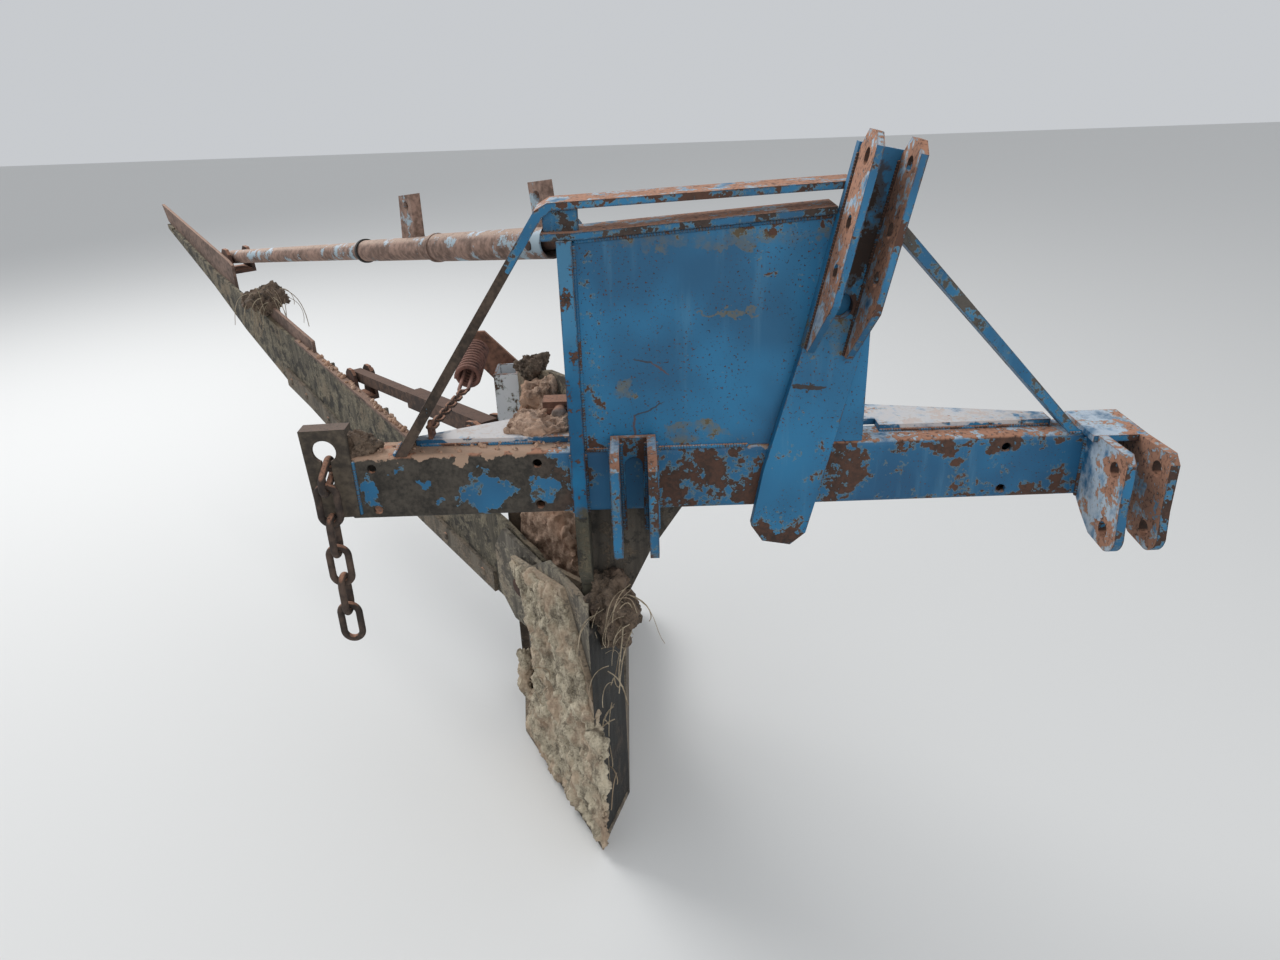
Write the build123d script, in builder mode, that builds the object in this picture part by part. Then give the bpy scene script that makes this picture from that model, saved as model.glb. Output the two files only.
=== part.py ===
from build123d import *
import math
import os

os.makedirs("parts", exist_ok=True)

# Axes: X to the right, Y to the rear, Z up, in millimetres.
# The origin lies on the sole, under the front of the beam and the middle of the leg.

# cross beam
BEAM_H = 125.0
BEAM_D = 80.0
BEAM_WALL = 8.0
BEAM_Z0 = 810.0
BEAM_TOP = BEAM_Z0 + BEAM_H
BEAM_LEFT = -423.0
BEAM_RIGHT = 917.0
BEAM_BOLT_D = 17.0
BEAM_BOLT_X = (-375.0, -75.0, 775.0)

# leg and face plate
LEG_T = 25.0
LEG_HALF = LEG_T / 2
LEG_FRONT = -15.0
LEG_TOP = 1309.0
FACE_T = 12.0
FACE_Y0 = 2.0
FACE_RIGHT = 512.0
FACE_TOP_R = 1341.0

# hitch clevises, category 2
LINK_PIN_D = 28.4
LINK_FIT = 0.6
LUG_T = 16.0
LINK_Z_HIGH = 913.0
LINK_Z_LOW = 799.0
RIGHT_INNER = BEAM_RIGHT
RIGHT_GAP = 56.0
CENTRE_X = 100.0
CENTRE_GAP = 48.0

# top link mast
TOP_PIN_D = 25.4
MAST_T = 20.0
MAST_LEAN = 12.2
MAST_OVER = 106.0
MAST_HOLE_D = 44.0
MAST_LUG_T = 12.0
MAST_LUG_DEEP = 92.0
MAST_LUG_GAP = 55.0
MAST_FOOT_X = 379.0

# braces
BRACE_W = 75.0
BRACE_T = 12.0
BRACE_RISE = 47.0
BRACE_OVER = 33.0
BRACE_FOOT_X = -330.0
BRACE_FOOT_W = 22.0

# nose
NOSE_Y = -35.0
NOSE_LEFT_ANGLE = 27.0
NOSE_RIGHT_ANGLE = 20.0
PLATE_T = 12.0
SOLE_T = 12.0
LAND_X = 60.0
LAND_END = 900.0

# wing: s runs out along the wing, Z up, n to its back
WING_ANGLE = 40.0
WING_X = -20.0
WING_Y = 190.0
BLADE_T = 12.0
BLADE_N = 6.0
HINGE_S = 235.0
HINGE_Z = 430.0
HINGE_PIN_D = 30.0

# telescopic strut
STRUT_N = 70.0
STRUT_IN_S = 165.0
STRUT_IN_Z = 1236.0
STRUT_OUT_S = 2081.0
STRUT_OUT_Z = 942.0
SLEEVE_OD = 63.5
MID_OD = 55.0
THIN_OD = 46.0
STRUT_GAP = 0.75

# telescopic stay
STAY_IN_S = 452.0
STAY_IN_Z = 757.0
STAY_OUT_S = 1149.0
STAY_OUT_Z = 722.0
STAY_OUT_N = 60.0

MOVE_GAP = 6.0

ca = math.cos(math.radians(WING_ANGLE))
sa = math.sin(math.radians(WING_ANGLE))
WING = Plane(origin=(WING_X, WING_Y, 0), x_dir=(-sa, ca, 0), z_dir=(ca, sa, 0))


def wing_point(s, z, n):
    return Vector(WING_X - s * sa + n * ca, WING_Y + s * ca + n * sa, z)


# Cross beam: rectangular tube in two halves, one welded to each side of the leg
with BuildPart() as cross_beam:
    for x0, x1 in ((BEAM_LEFT, -LEG_HALF), (LEG_HALF, BEAM_RIGHT)):
        with BuildSketch(Plane.YZ.offset(x0)) as section:
            with Locations((BEAM_D / 2, BEAM_Z0 + BEAM_H / 2)):
                RectangleRounded(BEAM_D, BEAM_H, 12)
                RectangleRounded(BEAM_D - 2 * BEAM_WALL, BEAM_H - 2 * BEAM_WALL, 5, mode=Mode.SUBTRACT)
        extrude(amount=x1 - x0)
    with BuildSketch(Plane.XZ.offset(1)) as bolts:
        for x in BEAM_BOLT_X:
            for z in (BEAM_Z0 + 20, BEAM_TOP - 22):
                with Locations((x, z)):
                    Circle(BEAM_BOLT_D / 2)
    extrude(amount=-(BEAM_WALL + 2), mode=Mode.SUBTRACT)
cross_beam.part.label = "cross_beam"
export_step(cross_beam.part, "parts/cross_beam.step")

# Leg: one thick plate standing fore and aft from the sole to the top bar
LEG_OUTLINE = [(LEG_FRONT, LEG_TOP), (LEG_FRONT, 690), (52, 620), (52, SOLE_T), (420, SOLE_T),
               (420, 470), (330, 640), (330, 1080), (378, 1150), (378, 1268), (250, 1300)]
with BuildPart() as leg_plate:
    with BuildSketch(Plane.YZ.offset(-LEG_HALF)) as outline:
        with BuildLine() as edge:
            Polyline(*LEG_OUTLINE, close=True)
        make_face()
    extrude(amount=LEG_T)
leg_plate.part.label = "leg_plate"
export_step(leg_plate.part, "parts/leg_plate.step")

# Face plate: broad sheet between the leg and the mast, standing on the beam
with BuildPart() as face_plate:
    with BuildSketch(Plane.XZ.offset(-FACE_Y0)) as outline:
        with BuildLine() as edge:
            Polyline((LEG_HALF, BEAM_TOP), (FACE_RIGHT - 7, BEAM_TOP), (FACE_RIGHT - 7, FACE_TOP_R),
                     (LEG_HALF, LEG_TOP), close=True)
        make_face()
    extrude(amount=-FACE_T)
    with BuildSketch(Plane.XZ.offset(-FACE_Y0)) as flange:
        with BuildLine() as edge:
            Polyline((FACE_RIGHT - 7, BEAM_TOP), (FACE_RIGHT, BEAM_TOP), (FACE_RIGHT, FACE_TOP_R),
                     (FACE_RIGHT - 7, FACE_TOP_R), close=True)
        make_face()
    extrude(amount=-72)
face_plate.part.label = "face_plate"
export_step(face_plate.part, "parts/face_plate.step")

# Top bar: flat along the sloped top of the face plate, with the tab that holds the left brace
bar_slope = (FACE_TOP_R - LEG_TOP) / (FACE_RIGHT - 7 - LEG_HALF)
BAR_L = -38.0
BAR_R = 442.0
BEND_X = -18.0
brace_slope = (FACE_TOP_R + BRACE_OVER - LEG_TOP - BRACE_RISE) / (BAR_R + 7 - BEND_X)


def brace_under(x):
    return LEG_TOP + BRACE_RISE + brace_slope * (x - BEND_X)


with BuildPart() as face_top_bar:
    with BuildSketch(Plane.XZ.offset(8)) as outline:
        with BuildLine() as edge:
            Polyline((BAR_L, LEG_TOP), (LEG_HALF, LEG_TOP), (BAR_R, LEG_TOP + bar_slope * (BAR_R - LEG_HALF)),
                     (BAR_R, LEG_TOP + bar_slope * (BAR_R - LEG_HALF) + BRACE_T),
                     (LEG_HALF, LEG_TOP + BRACE_T), (BAR_L, LEG_TOP + BRACE_T), close=True)
        make_face()
    extrude(amount=-76)
    with BuildSketch(Plane.XZ.offset(-10)) as tab:
        with BuildLine() as edge:
            Polyline((BEND_X - 16, LEG_TOP + BRACE_T), (24, LEG_TOP + BRACE_T), (24, brace_under(24)),
                     (BEND_X, brace_under(BEND_X)), (BEND_X - 16, brace_under(BEND_X) - 11), close=True)
        make_face()
    extrude(amount=-BRACE_T)
face_top_bar.part.label = "face_top_bar"
export_step(face_top_bar.part, "parts/face_top_bar.step")

# Mast plate: tapered flat leaning to the right in front of the beam
MAST_TOP = FACE_TOP_R + MAST_OVER
LUG_FOOT_Z = MAST_TOP - 357
MAST_FOOT = BEAM_Z0 - 72


def mast_left(z):
    return 391 + 0.22485 * (z - 1109)


def mast_right(z):
    return 493 + 0.16667 * (z - 1106)


with BuildPart() as mast_plate:
    with BuildSketch(Plane.XZ) as outline:
        with BuildLine() as edge:
            Polyline((313, MAST_FOOT + 42), (333, MAST_FOOT + 154), (391, 1109),
                     (mast_left(MAST_TOP), MAST_TOP),
                     (mast_right(MAST_TOP - 17), MAST_TOP - 17), (493, 1106), (444, MAST_FOOT + 150),
                     (414, MAST_FOOT + 24), (386, MAST_FOOT), (334, MAST_FOOT + 10), close=True)
        make_face()
        with Locations((mast_left(LUG_FOOT_Z + 100) + 42.8, LUG_FOOT_Z + 100)):
            Circle(MAST_HOLE_D / 2, mode=Mode.SUBTRACT)
    extrude(amount=MAST_T)
mast_plate.part.label = "mast_plate"
export_step(mast_plate.part, "parts/mast_plate.step")

# Mast lugs: two flanges along the mast with three pairs of top link holes
ml = math.radians(MAST_LEAN)
mast_up = Vector(math.sin(ml), 0, math.cos(ml))
mast_side = Vector(math.cos(ml), 0, -math.sin(ml))
mast_foot = Vector(MAST_FOOT_X, -MAST_T, LUG_FOOT_Z)
MAST_HOLES = (175.0, 252.0, 352.0)
MAST_PIN_OUT = 52.0
with BuildPart() as mast_lugs:
    for side in (-MAST_LUG_GAP / 2 - MAST_LUG_T, MAST_LUG_GAP / 2):
        base = mast_foot + mast_side * (side + 53)
        with BuildSketch(Plane(origin=base, x_dir=(0, -1, 0), z_dir=-mast_side)) as outline:
            with BuildLine() as edge:
                Polyline((0, 30), (14, 30), (MAST_LUG_DEEP, 130), (MAST_LUG_DEEP, 372),
                         (MAST_LUG_DEEP - 26, 390),
                         (26, 390), (0, 362), close=True)
            make_face()
            for up in MAST_HOLES:
                with Locations((MAST_PIN_OUT, up)):
                    Circle((TOP_PIN_D + LINK_FIT) / 2, mode=Mode.SUBTRACT)
        extrude(amount=-MAST_LUG_T)
mast_lugs.part.label = "mast_lugs"
export_step(mast_lugs.part, "parts/mast_lugs.step")

# Left brace: one flat bar from the back of the mast over to the left and down to the beam
BRACE_END = BAR_R + 28
with BuildPart() as brace_left:
    with BuildSketch(Plane.XZ) as outline:
        with BuildLine() as edge:
            Polyline((BRACE_END, brace_under(BRACE_END) + BRACE_T),
                     (BEND_X - 6, brace_under(BEND_X) + BRACE_T),
                     (BEND_X - 28, brace_under(BEND_X)), (BRACE_FOOT_X, BEAM_TOP),
                     (BRACE_FOOT_X + BRACE_FOOT_W, BEAM_TOP), (BEND_X - 16, brace_under(BEND_X) - 11),
                     (BEND_X, brace_under(BEND_X)), (BRACE_END, brace_under(BRACE_END)), close=True)
        make_face()
    extrude(amount=-BRACE_W)
brace_left.part.label = "brace_left"
export_step(brace_left.part, "parts/brace_left.step")

# Right brace: flat bar from the back of the mast down to the right end of the beam
with BuildPart() as brace_right:
    with BuildSketch(Plane.XZ) as outline:
        with BuildLine() as edge:
            Polyline((FACE_RIGHT + 2, FACE_TOP_R - 13), (FACE_RIGHT + 18, FACE_TOP_R + 1),
                     (BEAM_RIGHT - 9, BEAM_TOP), (BEAM_RIGHT - 9 - BRACE_FOOT_W, BEAM_TOP), close=True)
        make_face()
    extrude(amount=-(BRACE_W - 15))
brace_right.part.label = "brace_right"
export_step(brace_right.part, "parts/brace_right.step")

# Gussets: tapered plates lying on the beam, one each side of the centre
LEFT_GUSSET = [(-300, 48), (-300, 66), (-61, 171), (-LEG_HALF, 185), (-LEG_HALF, 42), (-80, 42)]
RIGHT_GUSSET = [(FACE_RIGHT, 76), (FACE_RIGHT, 160), (868, 80), (868, 44), (FACE_RIGHT + 40, 44),
                (FACE_RIGHT + 40, 76)]
with BuildPart() as beam_gussets:
    for outline_points in (LEFT_GUSSET, RIGHT_GUSSET):
        with BuildSketch(Plane.XY.offset(BEAM_TOP)) as outline:
            with BuildLine() as edge:
                Polyline(*outline_points, close=True)
            make_face()
        extrude(amount=PLATE_T)
beam_gussets.part.label = "beam_gussets"
export_step(beam_gussets.part, "parts/beam_gussets.step")

# Right hitch clevis: inner plate welded over the beam's end, outer plate beyond it
LUG_TOP = BEAM_TOP + 12
PIN_Y = -112.0
LUG_FRONT = PIN_Y - 36
LOWER_LUG = [(BEAM_D, BEAM_Z0), (BEAM_D, LUG_TOP - 12), (-41, LUG_TOP - 12), (-41, LUG_TOP),
             (PIN_Y - 20, LUG_TOP + 4),
             (LUG_FRONT, LUG_TOP - 12), (LUG_FRONT - 2, 850), (LUG_FRONT - 9, LINK_Z_LOW)]
LOWER_LUG_FOOT = [(PIN_Y - 14, 765), (-67, 768), (-25, 792), (0, BEAM_Z0)]
with BuildPart() as hitch_right_lugs:
    for x0 in (RIGHT_INNER, RIGHT_INNER + LUG_T + RIGHT_GAP):
        with BuildSketch(Plane.YZ.offset(x0)) as outline:
            with BuildLine() as edge:
                Polyline(*LOWER_LUG)
                ThreePointArc(LOWER_LUG[-1], (PIN_Y - 36, 777), LOWER_LUG_FOOT[0])
                Polyline(*LOWER_LUG_FOOT, LOWER_LUG[0])
            make_face()
            for z in (LINK_Z_HIGH, LINK_Z_LOW):
                with Locations((PIN_Y, z)):
                    Circle((LINK_PIN_D + LINK_FIT) / 2, mode=Mode.SUBTRACT)
        extrude(amount=LUG_T)
hitch_right_lugs.part.label = "hitch_right_lugs"
export_step(hitch_right_lugs.part, "parts/hitch_right_lugs.step")

# Right hitch bridge: block between the two plates behind the pin, and the plate over its top
BRIDGE_W = 2 * LUG_T + RIGHT_GAP
BRIDGE_OVER = 8.0
with BuildPart() as hitch_right_bridge:
    with Locations((RIGHT_INNER + LUG_T + RIGHT_GAP / 2, 34, BEAM_TOP - 56)):
        Box(RIGHT_GAP, 64, 112)
    with Locations((RIGHT_INNER + (BRIDGE_W - BRIDGE_OVER) / 2, (BEAM_D - 41) / 2, BEAM_TOP + 6)):
        Box(BRIDGE_W + BRIDGE_OVER, BEAM_D + 41, 12)
hitch_right_bridge.part.label = "hitch_right_bridge"
export_step(hitch_right_bridge.part, "parts/hitch_right_bridge.step")

# Centre hitch: slotted back plate on the face of the beam
BACK_T = 12.0
BACK_HALF = CENTRE_GAP / 2 + LUG_T
with BuildPart() as hitch_centre_back:
    with BuildSketch(Plane.XZ) as outline:
        with BuildLine() as edge:
            Polyline((CENTRE_X - BACK_HALF, 776), (CENTRE_X - BACK_HALF, 962), (CENTRE_X + BACK_HALF, 962),
                     (CENTRE_X + BACK_HALF, 776), (CENTRE_X + 16, 776), (CENTRE_X + 16, 908),
                     (CENTRE_X - 16, 908), (CENTRE_X - 16, 776), close=True)
        make_face()
        with Locations((CENTRE_X, 908)):
            Circle(16, mode=Mode.SUBTRACT)
    extrude(amount=BACK_T)
hitch_centre_back.part.label = "hitch_centre_back"
export_step(hitch_centre_back.part, "parts/hitch_centre_back.step")

# Centre hitch lugs: two upright plates in front of the slotted plate
CENTRE_LUG = [(-BACK_T, 764), (-BACK_T, 967), (-104, 967), (-124, 946), (-124, 790), (-98, 764)]
with BuildPart() as hitch_centre_lugs:
    for x0 in (CENTRE_X - CENTRE_GAP / 2 - LUG_T, CENTRE_X + CENTRE_GAP / 2):
        with BuildSketch(Plane.YZ.offset(x0)) as outline:
            with BuildLine() as edge:
                Polyline(*CENTRE_LUG, close=True)
            make_face()
            for z in (LINK_Z_HIGH, LINK_Z_LOW):
                with Locations((-84, z)):
                    Circle((LINK_PIN_D + LINK_FIT) / 2, mode=Mode.SUBTRACT)
        extrude(amount=LUG_T)
hitch_centre_lugs.part.label = "hitch_centre_lugs"
export_step(hitch_centre_lugs.part, "parts/hitch_centre_lugs.step")

# Chain plate: keyhole plate on the left end of the beam, with a turned back top
CHAIN_X = -452.0
KEY_T = 8.0
with BuildPart() as chain_keyhole_plate:
    with BuildSketch(Plane.XZ) as outline:
        with BuildLine() as edge:
            Polyline((-492, 993), (-408, 995), (-408, 822), (-476, 820), (-486, 850), close=True)
        make_face()
        with Locations((CHAIN_X, 953)):
            Circle(21.5, mode=Mode.SUBTRACT)
        with Locations((CHAIN_X, 918)):
            SlotCenterToCenter(50, 17, rotation=90, mode=Mode.SUBTRACT)
    extrude(amount=KEY_T)
    with BuildSketch(Plane.XZ) as top_turn:
        with BuildLine() as edge:
            Polyline((-492, 993), (-408, 995), (-408, 983), (-492, 981), close=True)
        make_face()
    extrude(amount=-26)
chain_keyhole_plate.part.label = "chain_keyhole_plate"
export_step(chain_keyhole_plate.part, "parts/chain_keyhole_plate.step")

# Hanging chain: links alternately edge on and face on, the first held in the slot
LINK_D = 13.0
LINK_IN = 62.6
LINK_W = 48.0
LINK_PITCH = 62.3
link_r = (LINK_W - LINK_D) / 2
link_half = (LINK_IN + LINK_D) / 2 - link_r
LINKS = [
    # y and z of the middle, degrees the link leans, way it faces
    (-14.0, 908.1, 70.0, "edge"),
    (-33.1, 859.2, 0.0, "face"),
    (-33.1, 859.2 - LINK_PITCH, 0.0, "edge"),
    (-33.1, 859.2 - 2 * LINK_PITCH, 0.0, "face"),
    (-33.1, 859.2 - 3 * LINK_PITCH, 0.0, "edge"),
    (-33.1, 859.2 - 4 * LINK_PITCH, 0.0, "face"),
]
TOGGLE_R = 6.0
with BuildPart() as hanging_chain:
    for y, z, lean, facing in LINKS:
        if facing == "face":
            link_plane = Plane(origin=(CHAIN_X, y, z), x_dir=(1, 0, 0), z_dir=(0, -1, 0))
        else:
            lean_rad = math.radians(lean)
            link_plane = Plane(origin=(CHAIN_X, y, z), x_dir=(0, math.cos(lean_rad), -math.sin(lean_rad)),
                               z_dir=(1, 0, 0))
        with BuildLine(link_plane) as loop:
            Line((link_r, -link_half), (link_r, link_half))
            CenterArc((0, link_half), link_r, 0, 180)
            Line((-link_r, link_half), (-link_r, -link_half))
            CenterArc((0, -link_half), link_r, 180, 180)
        with BuildSketch(Plane(origin=loop.line @ 0, z_dir=loop.line % 0)) as wire:
            Circle(LINK_D / 2)
        sweep(path=loop.line)
    with BuildSketch(Plane.YZ.offset(CHAIN_X - 26)) as toggle:
        with Locations((TOGGLE_R + 0.2, 914.5)):
            Circle(TOGGLE_R)
    extrude(amount=52)
hanging_chain.part.label = "hanging_chain"
export_step(hanging_chain.part, "parts/hanging_chain.step")

# Sole: floor plate under the nose, the landside and the rear post
SOLE = [(0, -44), (-206, 352), (-232, 600), (-150, 640), (30, LAND_END), (LAND_X, LAND_END), (LAND_X, 124)]
with BuildPart() as sole_plate:
    with BuildSketch(Plane.XY) as outline:
        with BuildLine() as edge:
            Polyline(*SOLE, close=True)
        make_face()
    extrude(amount=SOLE_T)
sole_plate.part.label = "sole_plate"
export_step(sole_plate.part, "parts/sole_plate.step")

nl = math.radians(NOSE_LEFT_ANGLE)
nr = math.radians(NOSE_RIGHT_ANGLE)
NOSE_L = Plane(origin=(0, NOSE_Y, 0), x_dir=(-math.sin(nl), math.cos(nl), 0),
               z_dir=(math.cos(nl), math.sin(nl), 0))
NOSE_R = Plane(origin=(0, NOSE_Y, 0), x_dir=(math.sin(nr), math.cos(nr), 0),
               z_dir=(math.cos(nr), -math.sin(nr), 0))

# Share: worn plate standing at the left front of the nose
SHARE = [(-40, SOLE_T), (412, SOLE_T), (412, 102), (350, 210), (328, 337), (441, 516), (137, 591),
         (34, 443), (-40, 318)]
with BuildPart() as share_plate:
    with BuildSketch(NOSE_L) as outline:
        with BuildLine() as edge:
            Polyline(*SHARE, close=True)
        make_face()
    extrude(amount=PLATE_T)
    with Locations((250, 0, 400)):
        Box(500, 900, 900, mode=Mode.SUBTRACT)
share_plate.part.label = "share_plate"
export_step(share_plate.part, "parts/share_plate.step")

# Shin: plate behind the share whose curved front edge closes on the nose
with BuildPart() as shin_plate:
    with BuildSketch(NOSE_L.offset(PLATE_T)) as outline:
        with BuildLine() as edge:
            Polyline((-40, SOLE_T), (398, SOLE_T), (398, 500), (240, 600), (94, 607))
            ThreePointArc((94, 607), (24, 590), (-40, 540))
            Line((-40, 540), (-40, SOLE_T))
        make_face()
    extrude(amount=PLATE_T)
    with Locations((250, 0, 400)):
        Box(500, 900, 900, mode=Mode.SUBTRACT)
shin_plate.part.label = "shin_plate"
export_step(shin_plate.part, "parts/shin_plate.step")

# Cheek: right side of the nose
cheek_length = (LAND_X - 0.0) / math.sin(nr)
with BuildPart() as right_cheek:
    with BuildSketch(NOSE_R) as outline:
        with BuildLine() as edge:
            Polyline((-40, SOLE_T), (cheek_length, SOLE_T), (cheek_length, 500), (120, 556), (-40, 556),
                     close=True)
        make_face()
    extrude(amount=-PLATE_T)
    with Locations((-250, 0, 400)):
        Box(500, 900, 900, mode=Mode.SUBTRACT)
right_cheek.part.label = "right_cheek"
export_step(right_cheek.part, "parts/right_cheek.step")

# Landside: long plate that bears on the ditch wall, tied to the leg by two blocks
LAND_Y = NOSE_Y + cheek_length * math.cos(nr)
with BuildPart() as landside:
    with BuildSketch(Plane.YZ.offset(LAND_X - PLATE_T)) as outline:
        with BuildLine() as edge:
            Polyline((LAND_Y + 6, SOLE_T), (LAND_END, SOLE_T), (LAND_END, 120), (LAND_END - 90, 200),
                     (LAND_Y + 6, 200), close=True)
        make_face()
    extrude(amount=PLATE_T)
    for y in (200, 380):
        with Locations(((LEG_HALF + LAND_X - PLATE_T) / 2, y, 110)):
            Box(LAND_X - PLATE_T - LEG_HALF, 30, 80)
landside.part.label = "landside"
export_step(landside.part, "parts/landside.step")


def nose_inner(t):
    return (-t * math.sin(nl) + 2 * PLATE_T * math.cos(nl),
            NOSE_Y + t * math.cos(nl) + 2 * PLATE_T * math.sin(nl))


def cheek_inner(t):
    return (t * math.sin(nr) - PLATE_T * math.cos(nr), NOSE_Y + t * math.cos(nr) + PLATE_T * math.sin(nr))


# Frog: level webs that carry the nose plates from the leg
with BuildPart() as frog_webs:
    for z in (60, 250, 430):
        with BuildSketch(Plane.XY.offset(z)) as outline:
            with BuildLine() as left_web:
                Polyline((-LEG_HALF, 64), *[nose_inner(t) for t in (99, 268)], (-86, 230), (-LEG_HALF, 158),
                         close=True)
            make_face()
            with BuildLine() as right_web:
                Polyline((LEG_HALF, 64), *[cheek_inner(t) for t in (110, 172)], (LEG_HALF, 150), close=True)
            make_face()
        extrude(amount=PLATE_T)
frog_webs.part.label = "frog_webs"
export_step(frog_webs.part, "parts/frog_webs.step")

# Knee: gusset under the beam on the right of the leg
with BuildPart() as knee_gusset:
    with BuildSketch(Plane.XZ.offset(-56)) as outline:
        with BuildLine() as edge:
            Polyline((LEG_HALF, BEAM_Z0), (205, BEAM_Z0), (125, 690), (70, 575), (LEG_HALF, 575), close=True)
        make_face()
    extrude(amount=-16)
knee_gusset.part.label = "knee_gusset"
export_step(knee_gusset.part, "parts/knee_gusset.step")

# Front mouldboard: fixed sheet from the leg that covers the wing's pivot
with BuildPart() as front_mouldboard:
    with BuildSketch(WING.offset(-PLATE_T)) as outline:
        with BuildLine() as edge:
            Polyline((-40, 300), (-40, 480), (61, 499), (150, 523), (300, 560), (340, 500), (340, 380),
                     (280, 318), close=True)
        make_face()
        with Locations((HINGE_S, HINGE_Z)):
            Circle(HINGE_PIN_D / 2, mode=Mode.SUBTRACT)
    extrude(amount=PLATE_T)
    with Locations((250 - LEG_HALF, 200, 400)):
        Box(500, 900, 900, mode=Mode.SUBTRACT)
front_mouldboard.part.label = "front_mouldboard"
export_step(front_mouldboard.part, "parts/front_mouldboard.step")

# Hinge back plate: second support of the wing's pivot, behind the blade
HINGE_BACK_N = BLADE_N + BLADE_T + MOVE_GAP
with BuildPart() as hinge_back_plate:
    with BuildSketch(WING.offset(HINGE_BACK_N)) as outline:
        with BuildLine() as edge:
            Polyline((-40, 345), (-40, 520), (HINGE_S, HINGE_Z + 62))
            ThreePointArc((HINGE_S, HINGE_Z + 62), (HINGE_S + 62, HINGE_Z), (HINGE_S, HINGE_Z - 62))
            Line((HINGE_S, HINGE_Z - 62), (-40, 345))
        make_face()
        with Locations((HINGE_S, HINGE_Z)):
            Circle(HINGE_PIN_D / 2, mode=Mode.SUBTRACT)
    extrude(amount=PLATE_T)
    with Locations((250 - LEG_HALF, 200, 400)):
        Box(500, 900, 900, mode=Mode.SUBTRACT)
hinge_back_plate.part.label = "hinge_back_plate"
export_step(hinge_back_plate.part, "parts/hinge_back_plate.step")

# Rear post: box post from the sole up behind the wing
POST_X0 = -218.0
POST_X1 = -162.0
POST_Y0 = 500.0
POST_Y1 = 580.0
POST_TOP = 915.0
with BuildPart() as rear_post:
    with BuildSketch(Plane.XY.offset(SOLE_T)) as outline:
        with Locations(((POST_X0 + POST_X1) / 2, (POST_Y0 + POST_Y1) / 2)):
            Rectangle(POST_X1 - POST_X0, POST_Y1 - POST_Y0)
            Rectangle(POST_X1 - POST_X0 - 12, POST_Y1 - POST_Y0 - 12, mode=Mode.SUBTRACT)
    extrude(amount=POST_TOP - SOLE_T)
rear_post.part.label = "rear_post"
export_step(rear_post.part, "parts/rear_post.step")

# Rear webs: level plates between the leg and the rear post, and the upright one on top of them
WEB_LEG_Y = 300.0
WEB_POST_Y = 505.0
WEB_Z = 760.0
web_run = Vector(POST_X1 + LEG_HALF, WEB_POST_Y - WEB_LEG_Y, 0)
with BuildPart() as rear_webs:
    web_plane = Plane(origin=(-LEG_HALF, WEB_LEG_Y, 0), x_dir=web_run, z_dir=web_run.cross(Vector(0, 0, 1)))
    with BuildSketch(web_plane) as wall:
        with BuildLine() as edge:
            Polyline((-10, WEB_Z + 6), (-10, 962), (110, 958), (web_run.length + 10, POST_TOP + 4),
                     (web_run.length + 10, WEB_Z + 6), close=True)
        make_face()
    extrude(amount=PLATE_T / 2, both=True)
    with Locations((250 - LEG_HALF, 400, 860)):
        Box(500, 600, 300, mode=Mode.SUBTRACT)
    with Locations((POST_X1 - 250, 400, 860)):
        Box(500, 600, 300, mode=Mode.SUBTRACT)
    for z, y0, y1 in ((WEB_Z, 190, 318), (200, 300, 415)):
        with BuildSketch(Plane.XY.offset(z)) as outline:
            with BuildLine() as edge:
                Polyline((-LEG_HALF, y0), (-LEG_HALF, y1), (POST_X1, POST_Y1 - 5), (POST_X1, POST_Y0 + 5),
                         close=True)
            make_face()
        extrude(amount=PLATE_T)
rear_webs.part.label = "rear_webs"
export_step(rear_webs.part, "parts/rear_webs.step")

# Clamp: stacked plates on the left gusset with a round bolt head at the front
with BuildPart() as clamp_stack:
    for z, w, d in ((BEAM_TOP + 12, 62, 64), (BEAM_TOP + 24, 50, 52), (BEAM_TOP + 36, 58, 40)):
        with Locations((-LEG_HALF - w / 2, 146, z + 6)):
            Box(w, d, 12)
    with BuildSketch(Plane.XZ.offset(-104)) as bolt:
        with Locations((-38, BEAM_TOP + 30)):
            Circle(13)
    extrude(amount=-22)
clamp_stack.part.label = "clamp_stack"
export_step(clamp_stack.part, "parts/clamp_stack.step")

# Spring anchors: tab on the left gusset for the chain and arm behind the rear post
SPRING_X = -262.0
TAB_X = -276.0
TAB_T = 8.0
TAB_Z = BEAM_TOP + PLATE_T
TAB_HOLE = (62.0, TAB_Z + 18)
ARM_T = 10.0
ARM_Y = POST_Y1 + 22
ARM_HOLE_Z = 961.0
with BuildPart() as spring_anchors:
    with BuildSketch(Plane.YZ.offset(TAB_X)) as tab:
        with BuildLine() as edge:
            Polyline((48, TAB_Z), (78, TAB_Z), (76, TAB_Z + 24), (68, TAB_Z + 32), (56, TAB_Z + 32),
                     (48, TAB_Z + 24), close=True)
        make_face()
        with Locations(TAB_HOLE):
            Circle(7, mode=Mode.SUBTRACT)
    extrude(amount=TAB_T)
    with BuildSketch(Plane.XZ.offset(-ARM_Y)) as arm:
        with BuildLine() as edge:
            Polyline((-286, 932), (-286, 988), (-246, 988), (POST_X1 - 8, POST_TOP - 8),
                     (POST_X1 - 8, POST_TOP - 68),
                     (POST_X0 + 4, POST_TOP - 68), close=True)
        make_face()
        with Locations((SPRING_X, ARM_HOLE_Z)):
            Circle(8, mode=Mode.SUBTRACT)
    extrude(amount=-ARM_T)
    with Locations(((POST_X0 + POST_X1) / 2, (POST_Y1 + ARM_Y) / 2, POST_TOP - 38)):
        Box(40, ARM_Y - POST_Y1, 50)
spring_anchors.part.label = "spring_anchors"
export_step(spring_anchors.part, "parts/spring_anchors.step")

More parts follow.
